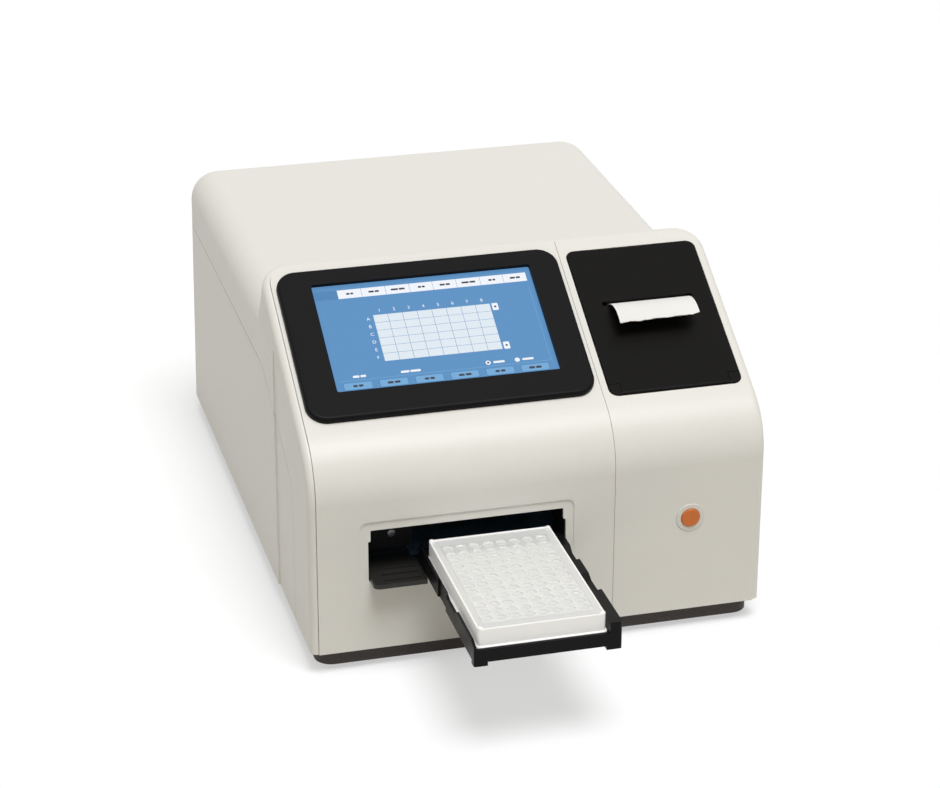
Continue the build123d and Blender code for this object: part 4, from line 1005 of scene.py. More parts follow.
# ---------------------------------------------------------------- display
@dataclass
class TouchScreen:
    """Bezel, cover glass and the picture on the display, in slope millimetres.

    Attributes:
        centre: middle of the display.
        size: width and length of its lit area.
        cover: width and length of the cover glass.
        glass: lower and upper face of the cover glass.
        tab_edges: where the tabs begin and end across the screen.
        tab_span: lower and upper edge of the tabs.
        grid_corner: lower left corner of the table.
        cell: width and height of one of its cells.
        columns: how many cells across.
        rows: how many cells down.
        key_start: left edge of the first key.
        key_pitch: distance from key to key.
        key_size: width and height of a key.
        key_middle: height of the keys' middle on the screen.
    """

    centre: Point = (-49.6, 76.3)
    size: Point = (152.7, 91.4)
    cover: Point = (157.9, 96.6)
    glass: Point = (0.9, 1.6)
    tab_edges: tuple[float, ...] = (-124.6, -108.4, -91.9, -75.1, -58.5, -42.2, -25.6, -8.9, 7.4, 23.9)
    tab_span: Point = (111.2, 118.6)
    grid_corner: Point = (-88.2, 55.3)
    cell: Point = (10.16, 6.6)
    columns: int = 8
    rows: int = 6
    key_start: float = -119.7
    key_pitch: float = 24.25
    key_size: Point = (19.0, 5.6)
    key_middle: float = 37.2

    def flat(self, name: str, tiles: Sequence[tuple[float, float, float, float]], layer: int, paint: Paint,
             corner: float = 0.02) -> None:
        """Lays flat tiles on the display.

        Args:
            name: the piece's name.
            tiles: (x0, s0, x1, s1) of each.
            layer: how many layers up they lie.
            paint: their finish.
            corner: corner radius.
        """
        low = 0.04 + 0.07 * layer
        mould = Mesh()
        for x0, s0, x1, s1 in tiles:
            middle, size = ((x0 + x1) / 2, (s0 + s1) / 2), (x1 - x0, s1 - s0)
            mould.pad(middle, size, corner, [(0, low), (0, low + 0.05)], 2)
        fit(mould.piece(name, paint, SLOPE), "root", "lcd")

    def discs(self, name: str, places: Sequence[Point], radius: float, layer: int, paint: Paint) -> None:
        """Lays round marks on the display.

        Args:
            name: the piece's name.
            places: their middles.
            radius: their radius.
            layer: how many layers up they lie.
            paint: their finish.
        """
        tiles = [(x - radius, s - radius, x + radius, s + radius) for x, s in places]
        low = 0.04 + 0.07 * layer
        mould = Mesh()
        for x0, s0, x1, s1 in tiles:
            place = Matrix.Translation(((x0 + x1) / 2, (s0 + s1) / 2, 0))
            mould.lathe([(radius, low), (radius, low + 0.05)], place, 20)
        fit(mould.piece(name, paint, SLOPE), "root", "lcd")

    def picture(self) -> None:
        """Draws the field, the tabs, the table, the keys and their marks."""
        half_w, half_l = self.size[0] / 2, self.size[1] / 2
        x, s = self.centre
        self.flat("screen_field", [(x - half_w, s - half_l, x + half_w, s + half_l)], 0, Paint.FIELD)
        low, high = self.tab_span
        pairs = list(zip(self.tab_edges, self.tab_edges[1:]))
        self.flat("screen_tabs", [(a, low, b - 0.25, high) for a, b in pairs[1:]], 1, Paint.WHITE)
        self.flat("screen_tab_chosen", [(pairs[0][0], low, pairs[0][1] - 0.25, high)], 1, Paint.CHOSEN)
        marks = []
        for number, (a, b) in enumerate(pairs[1:]):
            middle, half = (a + b) / 2, 2.4 + 1.2 * (number % 3)
            marks.append((middle - half, (low + high) / 2 - 0.75, middle + half * 0.1 - 0.3, (low + high) / 2 + 0.75))
            marks.append((middle + half * 0.1 + 0.3, (low + high) / 2 - 0.75, middle + half, (low + high) / 2 + 0.75))
        self.flat("screen_tab_marks", marks, 2, Paint.INK, 0.4)
        self.table()
        self.keys()

    def table(self) -> None:
        """Draws the table with its numbers, letters, scroll boxes and options."""
        x0, s0 = self.grid_corner
        width, height = self.cell
        cells = [
            (x0 + c * width, s0 + r * height, x0 + (c + 1) * width - 0.3, s0 + (r + 1) * height - 0.3)
            for c in range(self.columns) for r in range(self.rows)
        ]
        self.flat("screen_cells", cells, 1, Paint.CELL)
        right = x0 + self.columns * width
        top = s0 + self.rows * height
        boxes = [(right + 1.0, top - 6.2, right + 5.2, top - 0.2), (right + 1.0, s0 - 0.2, right + 5.2, s0 + 5.8)]
        self.flat("screen_scroll_boxes", boxes, 1, Paint.WHITE, 0.5)
        self.discs("screen_scroll_marks", [(a + 2.1, (b + d) / 2) for a, b, _, d in boxes], 0.8, 2, Paint.INK)
        numbers = [(str(c + 1), x0 + (c + 0.5) * width, top + 3.3) for c in range(self.columns)]
        letters = [("ABCDEF"[self.rows - 1 - r], x0 - 3.9, s0 + (r + 0.5) * height) for r in range(self.rows)]
        fit(lettering("screen_numerals", numbers + letters, 2.6, 0.16, Paint.WHITE, SLOPE), "root", "lcd")
        options = [(-19.8, 45.0), (0.4, 45.0)]
        self.discs("screen_options", options, 1.75, 1, Paint.WHITE)
        self.discs("screen_option_chosen", options[:1], 0.75, 2, Paint.INK)
        lines = [(-121.7, 41.75, 23.3, 42.05), (23.1, 41.9, 23.4, 104.5)]
        self.flat("screen_rules", lines, 1, Paint.KEY)
        notes = [(-112.3, 44.0, -107.9, 45.8), (-107.2, 44.0, -103.4, 45.8), (-79.7, 44.0, -73.9, 45.8),
                 (-73.2, 44.0, -66.2, 45.8), (-16.2, 44.1, -8.4, 45.8), (3.9, 44.1, 11.7, 45.8)]
        self.flat("screen_notes", notes, 1, Paint.WHITE, 0.5)

    def keys(self) -> None:
        """Draws the row of keys along the foot of the screen."""
        width, height = self.key_size
        edges, faces, marks = [], [], []
        for number in range(6):
            x = self.key_start + number * self.key_pitch
            s0, s1 = self.key_middle - height / 2, self.key_middle + height / 2
            edges.append((x - 0.25, s0 - 0.25, x + width + 0.25, s1 + 0.25))
            faces.append((x, s0, x + width, s1))
            half = 3.4 + 0.9 * (number % 2)
            middle = x + width / 2
            marks.append((middle - half, self.key_middle - 0.9, middle - 0.4, self.key_middle + 0.9))
            marks.append((middle + 0.4, self.key_middle - 0.9, middle + half, self.key_middle + 0.9))
        self.flat("screen_key_edges", edges, 1, Paint.EDGE, 0.9)
        self.flat("screen_keys", faces, 2, Paint.KEY, 0.8)
        self.flat("screen_key_marks", marks, 3, Paint.INK, 0.5)

    def build(self) -> None:
        """Finishes the bezel, draws the picture and lays the cover glass over it."""
        paint_nodes(Paint.BEZEL, "display_bezel")
        paint_nodes(Paint.FIELD, "lcd_module")
        self.picture()
        low, high = self.glass
        mould = Mesh()
        mould.pad(self.centre, self.cover, 1.0, [(0.1, low), (0, low + 0.1), (0, high - 0.1), (0.1, high)])
        fit(mould.piece("cover_glass", Paint.GLASS, SLOPE), "root", "screen_glass", "touch_glass")


# ---------------------------------------------------------------- receipt printer
@dataclass
class ReceiptPrinter:
    """Door, paper, roll and mechanism of the printer, in slope millimetres.

    Attributes:
        paper_width: width of the paper.
        paper_x: middle of the paper.
        centre: place on the slope and height of the middle of the paper's curl.
        curl: radius of the curl.
        start: angle at which the visible strip starts, in degrees.
        end: angle at which it is torn off, in degrees.
        thickness: thickness of the paper.
        tooth: pitch of the tear bar's teeth.
        bar_place: place on the slope and height of the tear bar.
        rib_reach: how far the door's ribs reach to each side of the paper's middle.
        rib_rows: places on the slope of the ribs that run across.
        rib_span: where the other ribs begin and end on the slope.
        rib_heights: foot and top of the ribs.
        motor_end: middle of the motor's end face.
        seed: seed of the torn edge.
    """

    paper_width: float = 57.0
    paper_x: float = 102.4
    centre: Point = (62.55, -10.5)
    curl: float = 23.5
    start: float = 4.0
    end: float = 100.0
    thickness: float = 0.14
    tooth: float = 1.4
    bar_place: Point = (78.6, -3.4)
    rib_reach: float = 38.0
    rib_rows: tuple[float, ...] = (16.5, 46.0, 75.5)
    rib_span: Point = (16.0, 76.0)
    rib_heights: Point = (-3.6, -2.1)
    motor_end: tuple[float, float, float] = (117.1, 102.75, -22.55)
    seed: int = 7

    def centreline(self, length: float) -> tuple[float, float, float]:
        """A point on the paper's path.

        Args:
            length: distance along the path from its lower end.

        Returns:
            Place on the slope, height, and the path's angle about the curl's middle, in radians.
        """
        angle = math.radians(self.start) + length / self.curl
        return self.centre[0] + self.curl * math.cos(angle), self.centre[1] + self.curl * math.sin(angle), angle

    def strip(self) -> bpy.types.Object:
        """The curled strip with its torn edge."""
        rng = random.Random(self.seed)
        full = self.curl * math.radians(self.end - self.start)
        columns, rows = 82, 34
        jag = []
        wander = 0.0
        for i in range(columns + 1):
            across = i / columns * self.paper_width
            wander = wander * 0.8 + rng.uniform(-0.28, 0.28)
            saw = abs((across / self.tooth) % 1.0 - 0.5) * 1.1
            jag.append(saw + wander - 1.6 * (i / columns) + 0.8)
        rings = []
        for j in range(rows + 1):
            share = j / rows
            front, back = [], []
            for i in range(columns + 1):
                u = i / columns
                length = share * (full + jag[i])
                s, h, angle = self.centreline(length)
                lift = -0.25 * share ** 2 * (1 + math.sin(math.pi * u * 1.3 + 0.6))
                normal_s, normal_h = math.cos(angle), math.sin(angle)
                x = self.paper_x + (u - 0.5) * self.paper_width
                half = self.thickness / 2
                front.append((x, s + normal_s * (lift - half), h + normal_h * (lift - half)))
                back.append((x, s + normal_s * (lift + half), h + normal_h * (lift + half)))
            rings.append(front + back[::-1])
        mould = Mesh()
        mould.loft(rings)
        return mould.piece("receipt_strip", Paint.PAPER, SLOPE, 50)

    def tear_bar(self) -> None:
        """Sets the teeth of the tear bar along the print head."""
        count = int(self.paper_width / self.tooth)
        left = self.paper_x - self.paper_width / 2

        def tooth(mould: Mesh) -> None:
            """One flat tooth."""
            half = self.tooth / 2
            mould.loft([[(-half, y, -0.6), (half, y, -0.6), (0.0, y, 0.6)] for y in (-0.2, 0.2)])

        places = [(left + (i + 0.5) * self.tooth, *self.bar_place) for i in range(count)]
        repeat("tear_bar", tooth, places, Paint.STEEL, SLOPE)

    def door_ribs(self) -> None:
        """Adds the stiffening ribs under the door."""
        x0, x1 = self.paper_x - self.rib_reach, self.paper_x + self.rib_reach
        half, quarter = 0.6, self.rib_reach / 2
        columns = (x0, x0 + quarter, x1 - quarter, x1)
        along = [(x - half, x + half, *self.rib_span, *self.rib_heights) for x in columns]
        across = [(x0, x1, s - half, s + half, *self.rib_heights) for s in self.rib_rows]
        blocks("door_ribs", along + across, Paint.DOOR, "door", SLOPE, 0.2)

    def motor_trim(self) -> None:
        """Dresses the printer's motor with its end cap and terminals."""
        x0, s, h = self.motor_end
        place = Matrix.Translation((x0, s, h)) @ Matrix.Rotation(math.pi / 2, 4, "Y")
        mould = Mesh()
        mould.lathe([(0, -0.8), (2.4, -0.8), (2.6, -0.3), (6.4, -0.3), (6.9, 0.1), (6.9, 0.4), (0, 0.4)], place, 28)
        fit(mould.piece("motor_end_cap", Paint.ACETAL, SLOPE), "root", "gear_plastic")
        tags = [(x0 - 3.0, x0 - 0.2, s + d - 0.8, s + d + 0.8, h + 2.8, h + 3.2) for d in (-3.0, 3.0)]
        blocks("motor_terminals", tags, Paint.GOLD, "root", SLOPE, 0.2, 0.05)

    def build(self) -> None:
        """Finishes the mechanism and lays in the paper strip."""
        self.tear_bar()
        self.door_ribs()
        self.motor_trim()
        paint_nodes(Paint.DOOR, "printer_door")
        paint_nodes(Paint.STEEL, "hinge_pins", "platen_shaft")
        paint_nodes(Paint.TUB, "printer_bucket")
        paint_nodes(Paint.INNER, "print_head")
        paint_nodes(Paint.ACETAL, "roll_core", "platen_gear", "pinion_gear")
        paint_nodes(Paint.ROLLER, "platen_roller")
        paint_nodes(Paint.MOTOR, "printer_motor")
        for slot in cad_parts["paper_roll"].material_slots:
            slot.material = WOUND.material()
        fit(self.strip(), "door", "paper", "receipt_paper")


# ---------------------------------------------------------------- power button
@dataclass
class PowerButton:
    """Lit cap, its ring and the switch behind them."""

    def build(self) -> None:
        """Finishes the three nodes."""
        paint_nodes(Paint.ORANGE, "power_button")
        paint_nodes(Paint.RING, "button_ring")
        paint_nodes(Paint.INNER, "button_switch")


# ---------------------------------------------------------------- microplate
@dataclass
class Microplate:
    """96-well plate: a skirted frame and its field of round wells.

    Attributes:
        middle: X and Y of the plate's middle.
        size: width and length.
        corner: radius of its corners.
        seat: height of its underside.
        height: overall height.
        skirt: height of the foot flange.
        step: how far the walls stand in from the flange.
        rim: width of the rim round the wells.
        sunk: how far the wells' deck lies below the rim.
        pitch: distance from well to well.
        columns: wells across.
        rows: wells along.
        bore: radius of a well's mouth.
        deep: depth of a well.
    """

    middle: Point = (-35.3, -289.92)
    size: Point = (85.48, 127.76)
    corner: float = 3.2
    seat: float = 76.5
    height: float = 14.35
    skirt: float = 2.2
    step: float = 1.25
    rim: float = 1.3
    sunk: float = 0.7
    pitch: float = 9.0
    columns: int = 8
    rows: int = 12
    bore: float = 3.4
    deep: float = 10.6

    def outline(self, inset: float) -> list[Point]:
        """The plate's outline about its middle, drawn in by the inset."""
        return rounded(*self.size, self.corner, inset)

    def wall(self, sections: Sequence[tuple[list[Point], float]]) -> Mesh:
        """Joins level outlines, each at its height, into a wall round the plate's middle."""
        mould = Mesh()
        middle_x, middle_y = self.middle
        mould.loft([[(middle_x + x, middle_y + y, height) for x, y in line] for line, height in sections], caps=False)
        return mould

    def deck_piece(self) -> bpy.types.Object:
        """The sunk deck between the rim and the wells."""
        inner = rounded(self.pitch * self.columns + 0.3, self.pitch * self.rows + 0.1, 1.0)
        outer = self.outline(self.step + self.rim - 0.05)
        high = self.seat + self.height - self.sunk - 0.25
        low = high - 1.0
        ledge = self.wall([(outer, low), (outer, high), (inner, high), (inner, low), (outer, low)])
        return ledge.piece("plate_deck", Paint.WELL_PAINTED_GLOW)

    def frame_piece(self) -> bpy.types.Object:
        """The skirt, the walls, the rim and the nubs at its corners."""
        top = self.seat + self.height
        step, lip = self.step, self.step + self.rim
        profile = [
            (0.0, self.seat), (0.0, self.seat + self.skirt - 0.4), (0.3, self.seat + self.skirt),
            (step, self.seat + self.skirt), (step, top - 0.5), (step + 0.25, top - 0.2), (lip - 0.25, top - 0.2),
            (lip, top - 0.45), (lip, self.seat), (0.0, self.seat),
        ]
        mould = self.wall([(self.outline(inset), height) for inset, height in profile])
        for sx in (-1, 1):
            for sy in (-1, 1):
                x = self.middle[0] + sx * (self.size[0] / 2 - step - 1.7)
                y = self.middle[1] + sy * (self.size[1] / 2 - step - 1.7)
                place = Matrix.Translation((x, y, top))
                mould.lathe([(1.65, -1.6), (1.65, 0.15), (1.3, 0.5), (0.6, 0.58), (0, 0.6)], place, 16)
        return mould.piece("plate_frame", Paint.PLATE_WHITE_PAINTED_GLOW)

    def well(self, mould: Mesh) -> None:
        """One well with its collar and its share of the deck.

        Args:
            mould: the mesh to fill.
        """
        steps = 16
        bore, wall = self.bore, 0.4
        half_x, half_y = self.pitch / 2, self.pitch / 2 - 0.12
        square = []
        for i in range(steps):
            a = 2 * math.pi * i / steps
            grow = 1 / max(abs(math.cos(a)), abs(math.sin(a)))
            square.append((half_x * math.cos(a) * grow, half_y * math.sin(a) * grow, -0.25))

        under = [(x, y, z - 0.7) for x, y, z in square]
        profile = [
            (bore + wall + 0.1, -0.25), (bore + wall - 0.05, 0.0), (bore + 0.1, 0.0), (bore, -0.15),
            (bore - 0.2, -self.deep + 1.6), (bore - 0.9, -self.deep + 0.4), (0.6, -self.deep),
        ]
        mould.loft([under, square, *(circle(radius, height, steps) for radius, height in profile)])

    def field_piece(self) -> bpy.types.Object:
        """The wells, set out by a tree on the plate's standard pitch."""
        tree = Repeater("Well field")
        pitch = tree.given("Pitch", "Float", self.pitch)
        columns = tree.given("Columns", "Int", self.columns)
        rows = tree.given("Rows", "Int", self.rows)
        level = self.seat + self.height - self.sunk
        middle = tree.given("Middle", "Vector", (*self.middle, level))
        unit = tree.given("Well", "Object", pattern(self.well, "well_unit"))
        size = {
            "Size X": (columns - 1) * pitch, "Size Y": (rows - 1) * pitch, "Vertices X": columns, "Vertices Y": rows,
        }
        grid = tree.node("GeometryNodeMeshGrid", {}, size)
        moved = tree.node("GeometryNodeTransform", {}, {"Geometry": grid, "Translation": middle})
        well = tree.node("GeometryNodeObjectInfo", {}, {"Object": unit}, "Geometry")
        spread = tree.node("GeometryNodeInstanceOnPoints", {}, {"Points": moved, "Instance": well})
        return tree.made("plate_wells", spread, Paint.WELL_PAINTED_GLOW)

    def build(self) -> None:
        """Makes the deck, the frame and the wells."""
        # The deck, the frame and the wells carry a painted glow in their finishes, for light passing through the
        # plastic.
        fit(self.deck_piece(), "microplate", "well_clear", "well_strips")
        fit(self.frame_piece(), "microplate", "plate_white", "microplate_frame")
        fit(self.field_piece(), "microplate", "well_clear", "well_strips")


# ---------------------------------------------------------------- carrier and its drive
@dataclass
class CarrierDrive:
    """Plate carrier, its arm, slide, screw and motor, in millimetres.

    Attributes:
        screw: X and Z of the lead screw's axis.
        span: Y of the thread's two ends.
        tail: Y of the plain end in the coupling.
        tail_radius: radius of that end.
        radius: outer radius of the thread.
        root: radius at the bottom of the thread.
        lead: advance in one turn.
        starts: how many threads run side by side.
        rail: X, first Y, last Y and top of the rail.
        motor: X, Y and Z span of the motor.
        seal_rows: Y of the running block's two seals.
        seal: half width and half thickness of a seal.
        seal_heights: foot and top of the seals.
        rail_screws: how many screws hold the rail.
    """

    screw: Point = (-129.0, 59.0)
    span: Point = (-187.0, 123.0)
    tail: float = 139.0
    tail_radius: float = 2.5
    radius: float = 3.0
    root: float = 2.4
    lead: float = 10.0
    starts: int = 4
    rail: tuple[float, float, float, float] = (-100.0, -199.0, 93.0, 54.0)
    motor: tuple[Point, Point, Point] = ((-146.5, -111.5), (155.0, 189.0), (41.5, 76.5))
    seal_rows: Point = (-195.7, -164.3)
    seal: Point = (13.6, 1.4)
    seal_heights: Point = (48.9, 61.1)
    rail_screws: int = 7

    def thread(self) -> None:
        """Cuts the lead screw's four-start thread, swept along spirals by a tree."""
        tree = Repeater("Screw thread")
        radius = tree.given("Root radius", "Float", self.root)
        crest = tree.given("Crest", "Float", self.radius - self.root)
        length = tree.given("Length", "Float", self.span[1] - self.span[0])
        turns = length / tree.given("Lead", "Float", self.lead)
        spiral = {"Resolution": 36, "Rotations": turns, "Start Radius": radius, "End Radius": radius, "Height": length}
        path = tree.node("GeometryNodeCurveSpiral", {}, spiral)
        section = tree.node("GeometryNodeCurvePrimitiveQuadrilateral", {}, {"Width": crest * 2.0, "Height": 1.1})
        ridge = tree.node("GeometryNodeCurveToMesh", {}, {"Curve": path, "Profile Curve": section, "Fill Caps": True})
        shaft = tree.node("GeometryNodeMeshCylinder", {}, {"Vertices": 20, "Radius": radius, "Depth": length})
        lift = tree.node("ShaderNodeCombineXYZ", {}, {2: length * 0.5})
        joined = tree.node("GeometryNodeJoinGeometry")
        parts = [tree.node("GeometryNodeTransform", {}, {"Geometry": shaft, "Translation": lift})]
        for start in range(self.starts):
            turn = (0.0, 0.0, 2 * math.pi * start / self.starts)
            parts.append(tree.node("GeometryNodeTransform", {}, {"Geometry": ridge, "Rotation": turn}))
        for part in parts:
            tree.tree.links.new(part.socket, joined.socket.node.inputs[0])
        axis = Surface((self.screw[0], self.span[0], self.screw[1]), (-1, 0, 0), (0, 1, 0))
        fit(tree.made("threaded_screw", joined, Paint.STEEL, axis), "screw", "steel", "lead_screw")
        mould = Mesh()
        low, high, r = self.span[1] - self.span[0], self.tail - self.span[0], self.tail_radius
        mould.lathe([(0, low - 1.0), (r, low - 1.0), (r, high - 0.4), (r - 0.4, high), (0, high)], None, 24)
        fit(mould.piece("screw_tail", Paint.STEEL, axis), "screw", "steel", "lead_screw")

    def fasteners(self) -> None:
        """Sets the screws of the rail and the motor."""
        x, y0, y1, top = self.rail
        inset, depth = 12, 3.5
        pitch = (y1 - y0 - 2 * inset) / (self.rail_screws - 1)
        places = [(x, y0 + inset + i * pitch, top - depth) for i in range(self.rail_screws)]
        repeat("rail_screws", socket_screw(2.6, 2.4), places, Paint.SCREWS)
        (mx0, mx1), (_, my1), (mz0, mz1) = self.motor
        back = Surface((0, my1 + 0.2, 0), (-1, 0, 0), (0, 1, 0))
        edge = 4.2
        corners = [(-x, z, 0.0) for x in (mx0 + edge, mx1 - edge) for z in (mz0 + edge, mz1 - edge)]
        repeat("motor_screws", socket_screw(1.6, 1.2), corners, Paint.SCREWS, back)

    def motor_trim(self) -> None:
        """Dresses the motor with its two cast end plates, its rear boss and its connector."""
        (x0, x1), (y0, y1), (z0, z1) = self.motor
        along = Surface((0, 0, 0), (1, 0, 0), (0, -1, 0))
        spans = ((y0 + 0.1, y0 + 7.0), (y1 - 7.0, y1 + 0.2))
        ends = [(x0 - 0.2, x1 + 0.2, z0 - 0.2, z1 + 0.2, -b, -a) for a, b in spans]
        blocks("motor_end_plates", ends, Paint.ALUMINIUM, "root", along, 3.2, 0.3)
        middle = Matrix.Translation(((x0 + x1) / 2, (z0 + z1) / 2, -y1 - 0.2))
        mould = Mesh()
        mould.lathe([(0, -1.4), (5.2, -1.4), (5.8, -0.9), (5.8, 0.2), (0, 0.2)], middle, 28)
        fit(mould.piece("motor_boss", Paint.ALUMINIUM, along), "root", "aluminium")
        middle_x = (x0 + x1) / 2
        socket = [(middle_x - 6, middle_x + 6, y1 - 6.5, y1 - 0.5, z1 - 0.2, z1 + 4.5)]
        blocks("motor_connector", socket, Paint.CONNECTOR)

    def block_caps(self) -> None:
        """Adds the seals at both ends of the running block."""
        x, (reach, half) = self.rail[0], self.seal
        ends = [(x - reach, x + reach, y - half, y + half, *self.seal_heights) for y in self.seal_rows]
        blocks("block_seals", ends, Paint.INNER, "carrier", LEVEL, 0.5)

    def build(self) -> None:
        """Finishes the carrier and its drive, and cuts the screw's thread."""
        paint_nodes(Paint.CARRIER, "plate_carrier")
        # The arm takes the carrier's black painted lighter, as a painted highlight.
        paint_nodes(Paint.ARM_PAINTED_HIGHLIGHT, "carrier_arm")
        paint_nodes(Paint.SPRING, "plate_spring")
        paint_nodes(Paint.STEEL, "slide_block", "slide_rail")
        paint_nodes(Paint.NUT, "lead_nut")
        paint_nodes(Paint.ALUMINIUM, "screw_coupling", "drive_brackets")
        paint_nodes(Paint.INNER, "carrier_motor")
        paint_nodes(Paint.SHEET, "chassis")
        self.thread()
        self.fasteners()
        self.motor_trim()
        self.block_caps()


# ---------------------------------------------------------------- optics
@dataclass
class Optics:
    """Detector, lenses, light guides, filter wheel and lamp.

    Attributes:
        wheel: X of the wheel's front face and Y, Z of its axis.
        filters: how many filters stand in it.
        circle: radius of the circle that they stand on.
        filter_radius: radius of a filter.
        bar: X, Y span and top of the lens bar.
        beam: Y and Z of the light beam.
        lamp: X of the lamp.
        lid: X and Y of the lamp housing's screws, and its top.
    """

    wheel: tuple[float, float, float] = (52.2, 13.0, 148.0)
    filters: int = 8
    circle: float = 31.3
    filter_radius: float = 6.0
    bar: tuple[Point, Point, float] = ((-149.0, 146.0), (-115.5, 40.0), 122.0)
    beam: Point = (-15.0, 134.0)
    lamp: float = 103.2
    lid: tuple[Point, Point, float] = ((87.2, 119.2), (-31.5, -6.5), 152.0)

    def filter_rings(self) -> None:
        """Sets a retaining ring with two notches before every filter."""
        x, y, z = self.wheel
        face = Surface((x, y, z), (0, -1, 0), (-1, 0, 0))

        def ring(mould: Mesh) -> None:
            """One flat retaining ring."""
            r = self.filter_radius
            section = [(-0.9, -0.2), (0.9, -0.2), (0.9, 0.3), (0.7, 0.5), (-0.7, 0.5), (-0.9, 0.3), (-0.9, -0.2)]
            mould.lathe([(r + out, height) for out, height in section], None, 28)
            for side in (-1, 1):
                mould.block((side * (r + 0.1) - 0.6, -0.5, 0.4), (side * (r + 0.1) + 0.6, 0.5, 0.7), 0.1, 0.05)

        step = 2 * math.pi / self.filters
        first = math.atan2(self.beam[1] - z, y - self.beam[0])
        angles = [first + i * step for i in range(self.filters)]
        places = [(self.circle * math.cos(a), self.circle * math.sin(a), 0.0) for a in angles]
        repeat("filter_rings", ring, places, Paint.INNER, face, "wheel")

    def hub_screw(self) -> None:
        """Sets the screw and washer of the wheel's hub."""
        x, y, z = self.wheel
        mould = Mesh()
        mould.lathe([(0, -0.2), (6.5, -0.2), (6.5, 0.5), (6.2, 0.8), (0, 0.8)], None, 28)
        face = Surface((x, y, z), (0, -1, 0), (-1, 0, 0))
        fit(mould.piece("hub_washer", Paint.STEEL, face), "wheel", "steel")
        raised = Surface((x - 0.8, y, z), (0, -1, 0), (-1, 0, 0))
        repeat("hub_screw", socket_screw(2.6, 2.2), [(0, 0, 0)], Paint.SCREWS, raised, "wheel")

    def filament(self) -> None:
        """Winds the lamp's filament along a spiral."""
        tree = Repeater("Filament")
        turns = tree.given("Turns", "Float", 7.0)
        radius, length = 0.7, 4.0
        coil = {"Resolution": 14, "Rotations": turns, "Start Radius": radius, "End Radius": radius, "Height": length}
        path = tree.node("GeometryNodeCurveSpiral", {}, coil)
        wire = tree.node("GeometryNodeCurvePrimitiveCircle", {"mode": "RADIUS"}, {"Resolution": 5, "Radius": 0.12})
        swept = tree.node("GeometryNodeCurveToMesh", {}, {"Curve": path, "Profile Curve": wire, "Fill Caps": True})
        middle = Surface((self.lamp, self.beam[0] + length / 2, self.beam[1]), (1, 0, 0), (0, -1, 0))
        fit(tree.made("lamp_filament", swept, Paint.STEEL, middle), "root", "steel")

    def fasteners(self) -> None:
        """Sets the screws of the lens bar and the lamp housing."""
        (x0, x1), (y0, y1), top = self.bar
        inset = 7
        places = [(x, y, top) for x in (x0 + inset, x1 - inset) for y in (y0 + inset, y1 - inset)]
        repeat("bar_screws", socket_screw(2.7, 2.4), places, Paint.SCREWS)
        places = [(x, y, self.lid[2]) for x in self.lid[0] for y in self.lid[1]]
        repeat("lid_screws", socket_screw(1.5, 1.2), places, Paint.SCREWS)

    def build(self) -> None:
        """Finishes the optical parts."""
        paint_nodes(Paint.CARRIER, "detector_block")
        paint_nodes(Paint.SHEET, "upper_deck", "lamp_housing")
        paint_nodes(Paint.ALUMINIUM, "lens_bar", "beam_mounts", "filter_wheel")
        paint_nodes(Paint.LENS, "lenses", "halogen_lamp")
        paint_nodes(Paint.FILTER, "filter_glasses")
        paint_nodes(Paint.FIBRE, "fibre_bundle")
        paint_nodes(Paint.MOTOR, "wheel_motor")
        self.filter_rings()
        self.hub_screw()
        self.filament()
        self.fasteners()


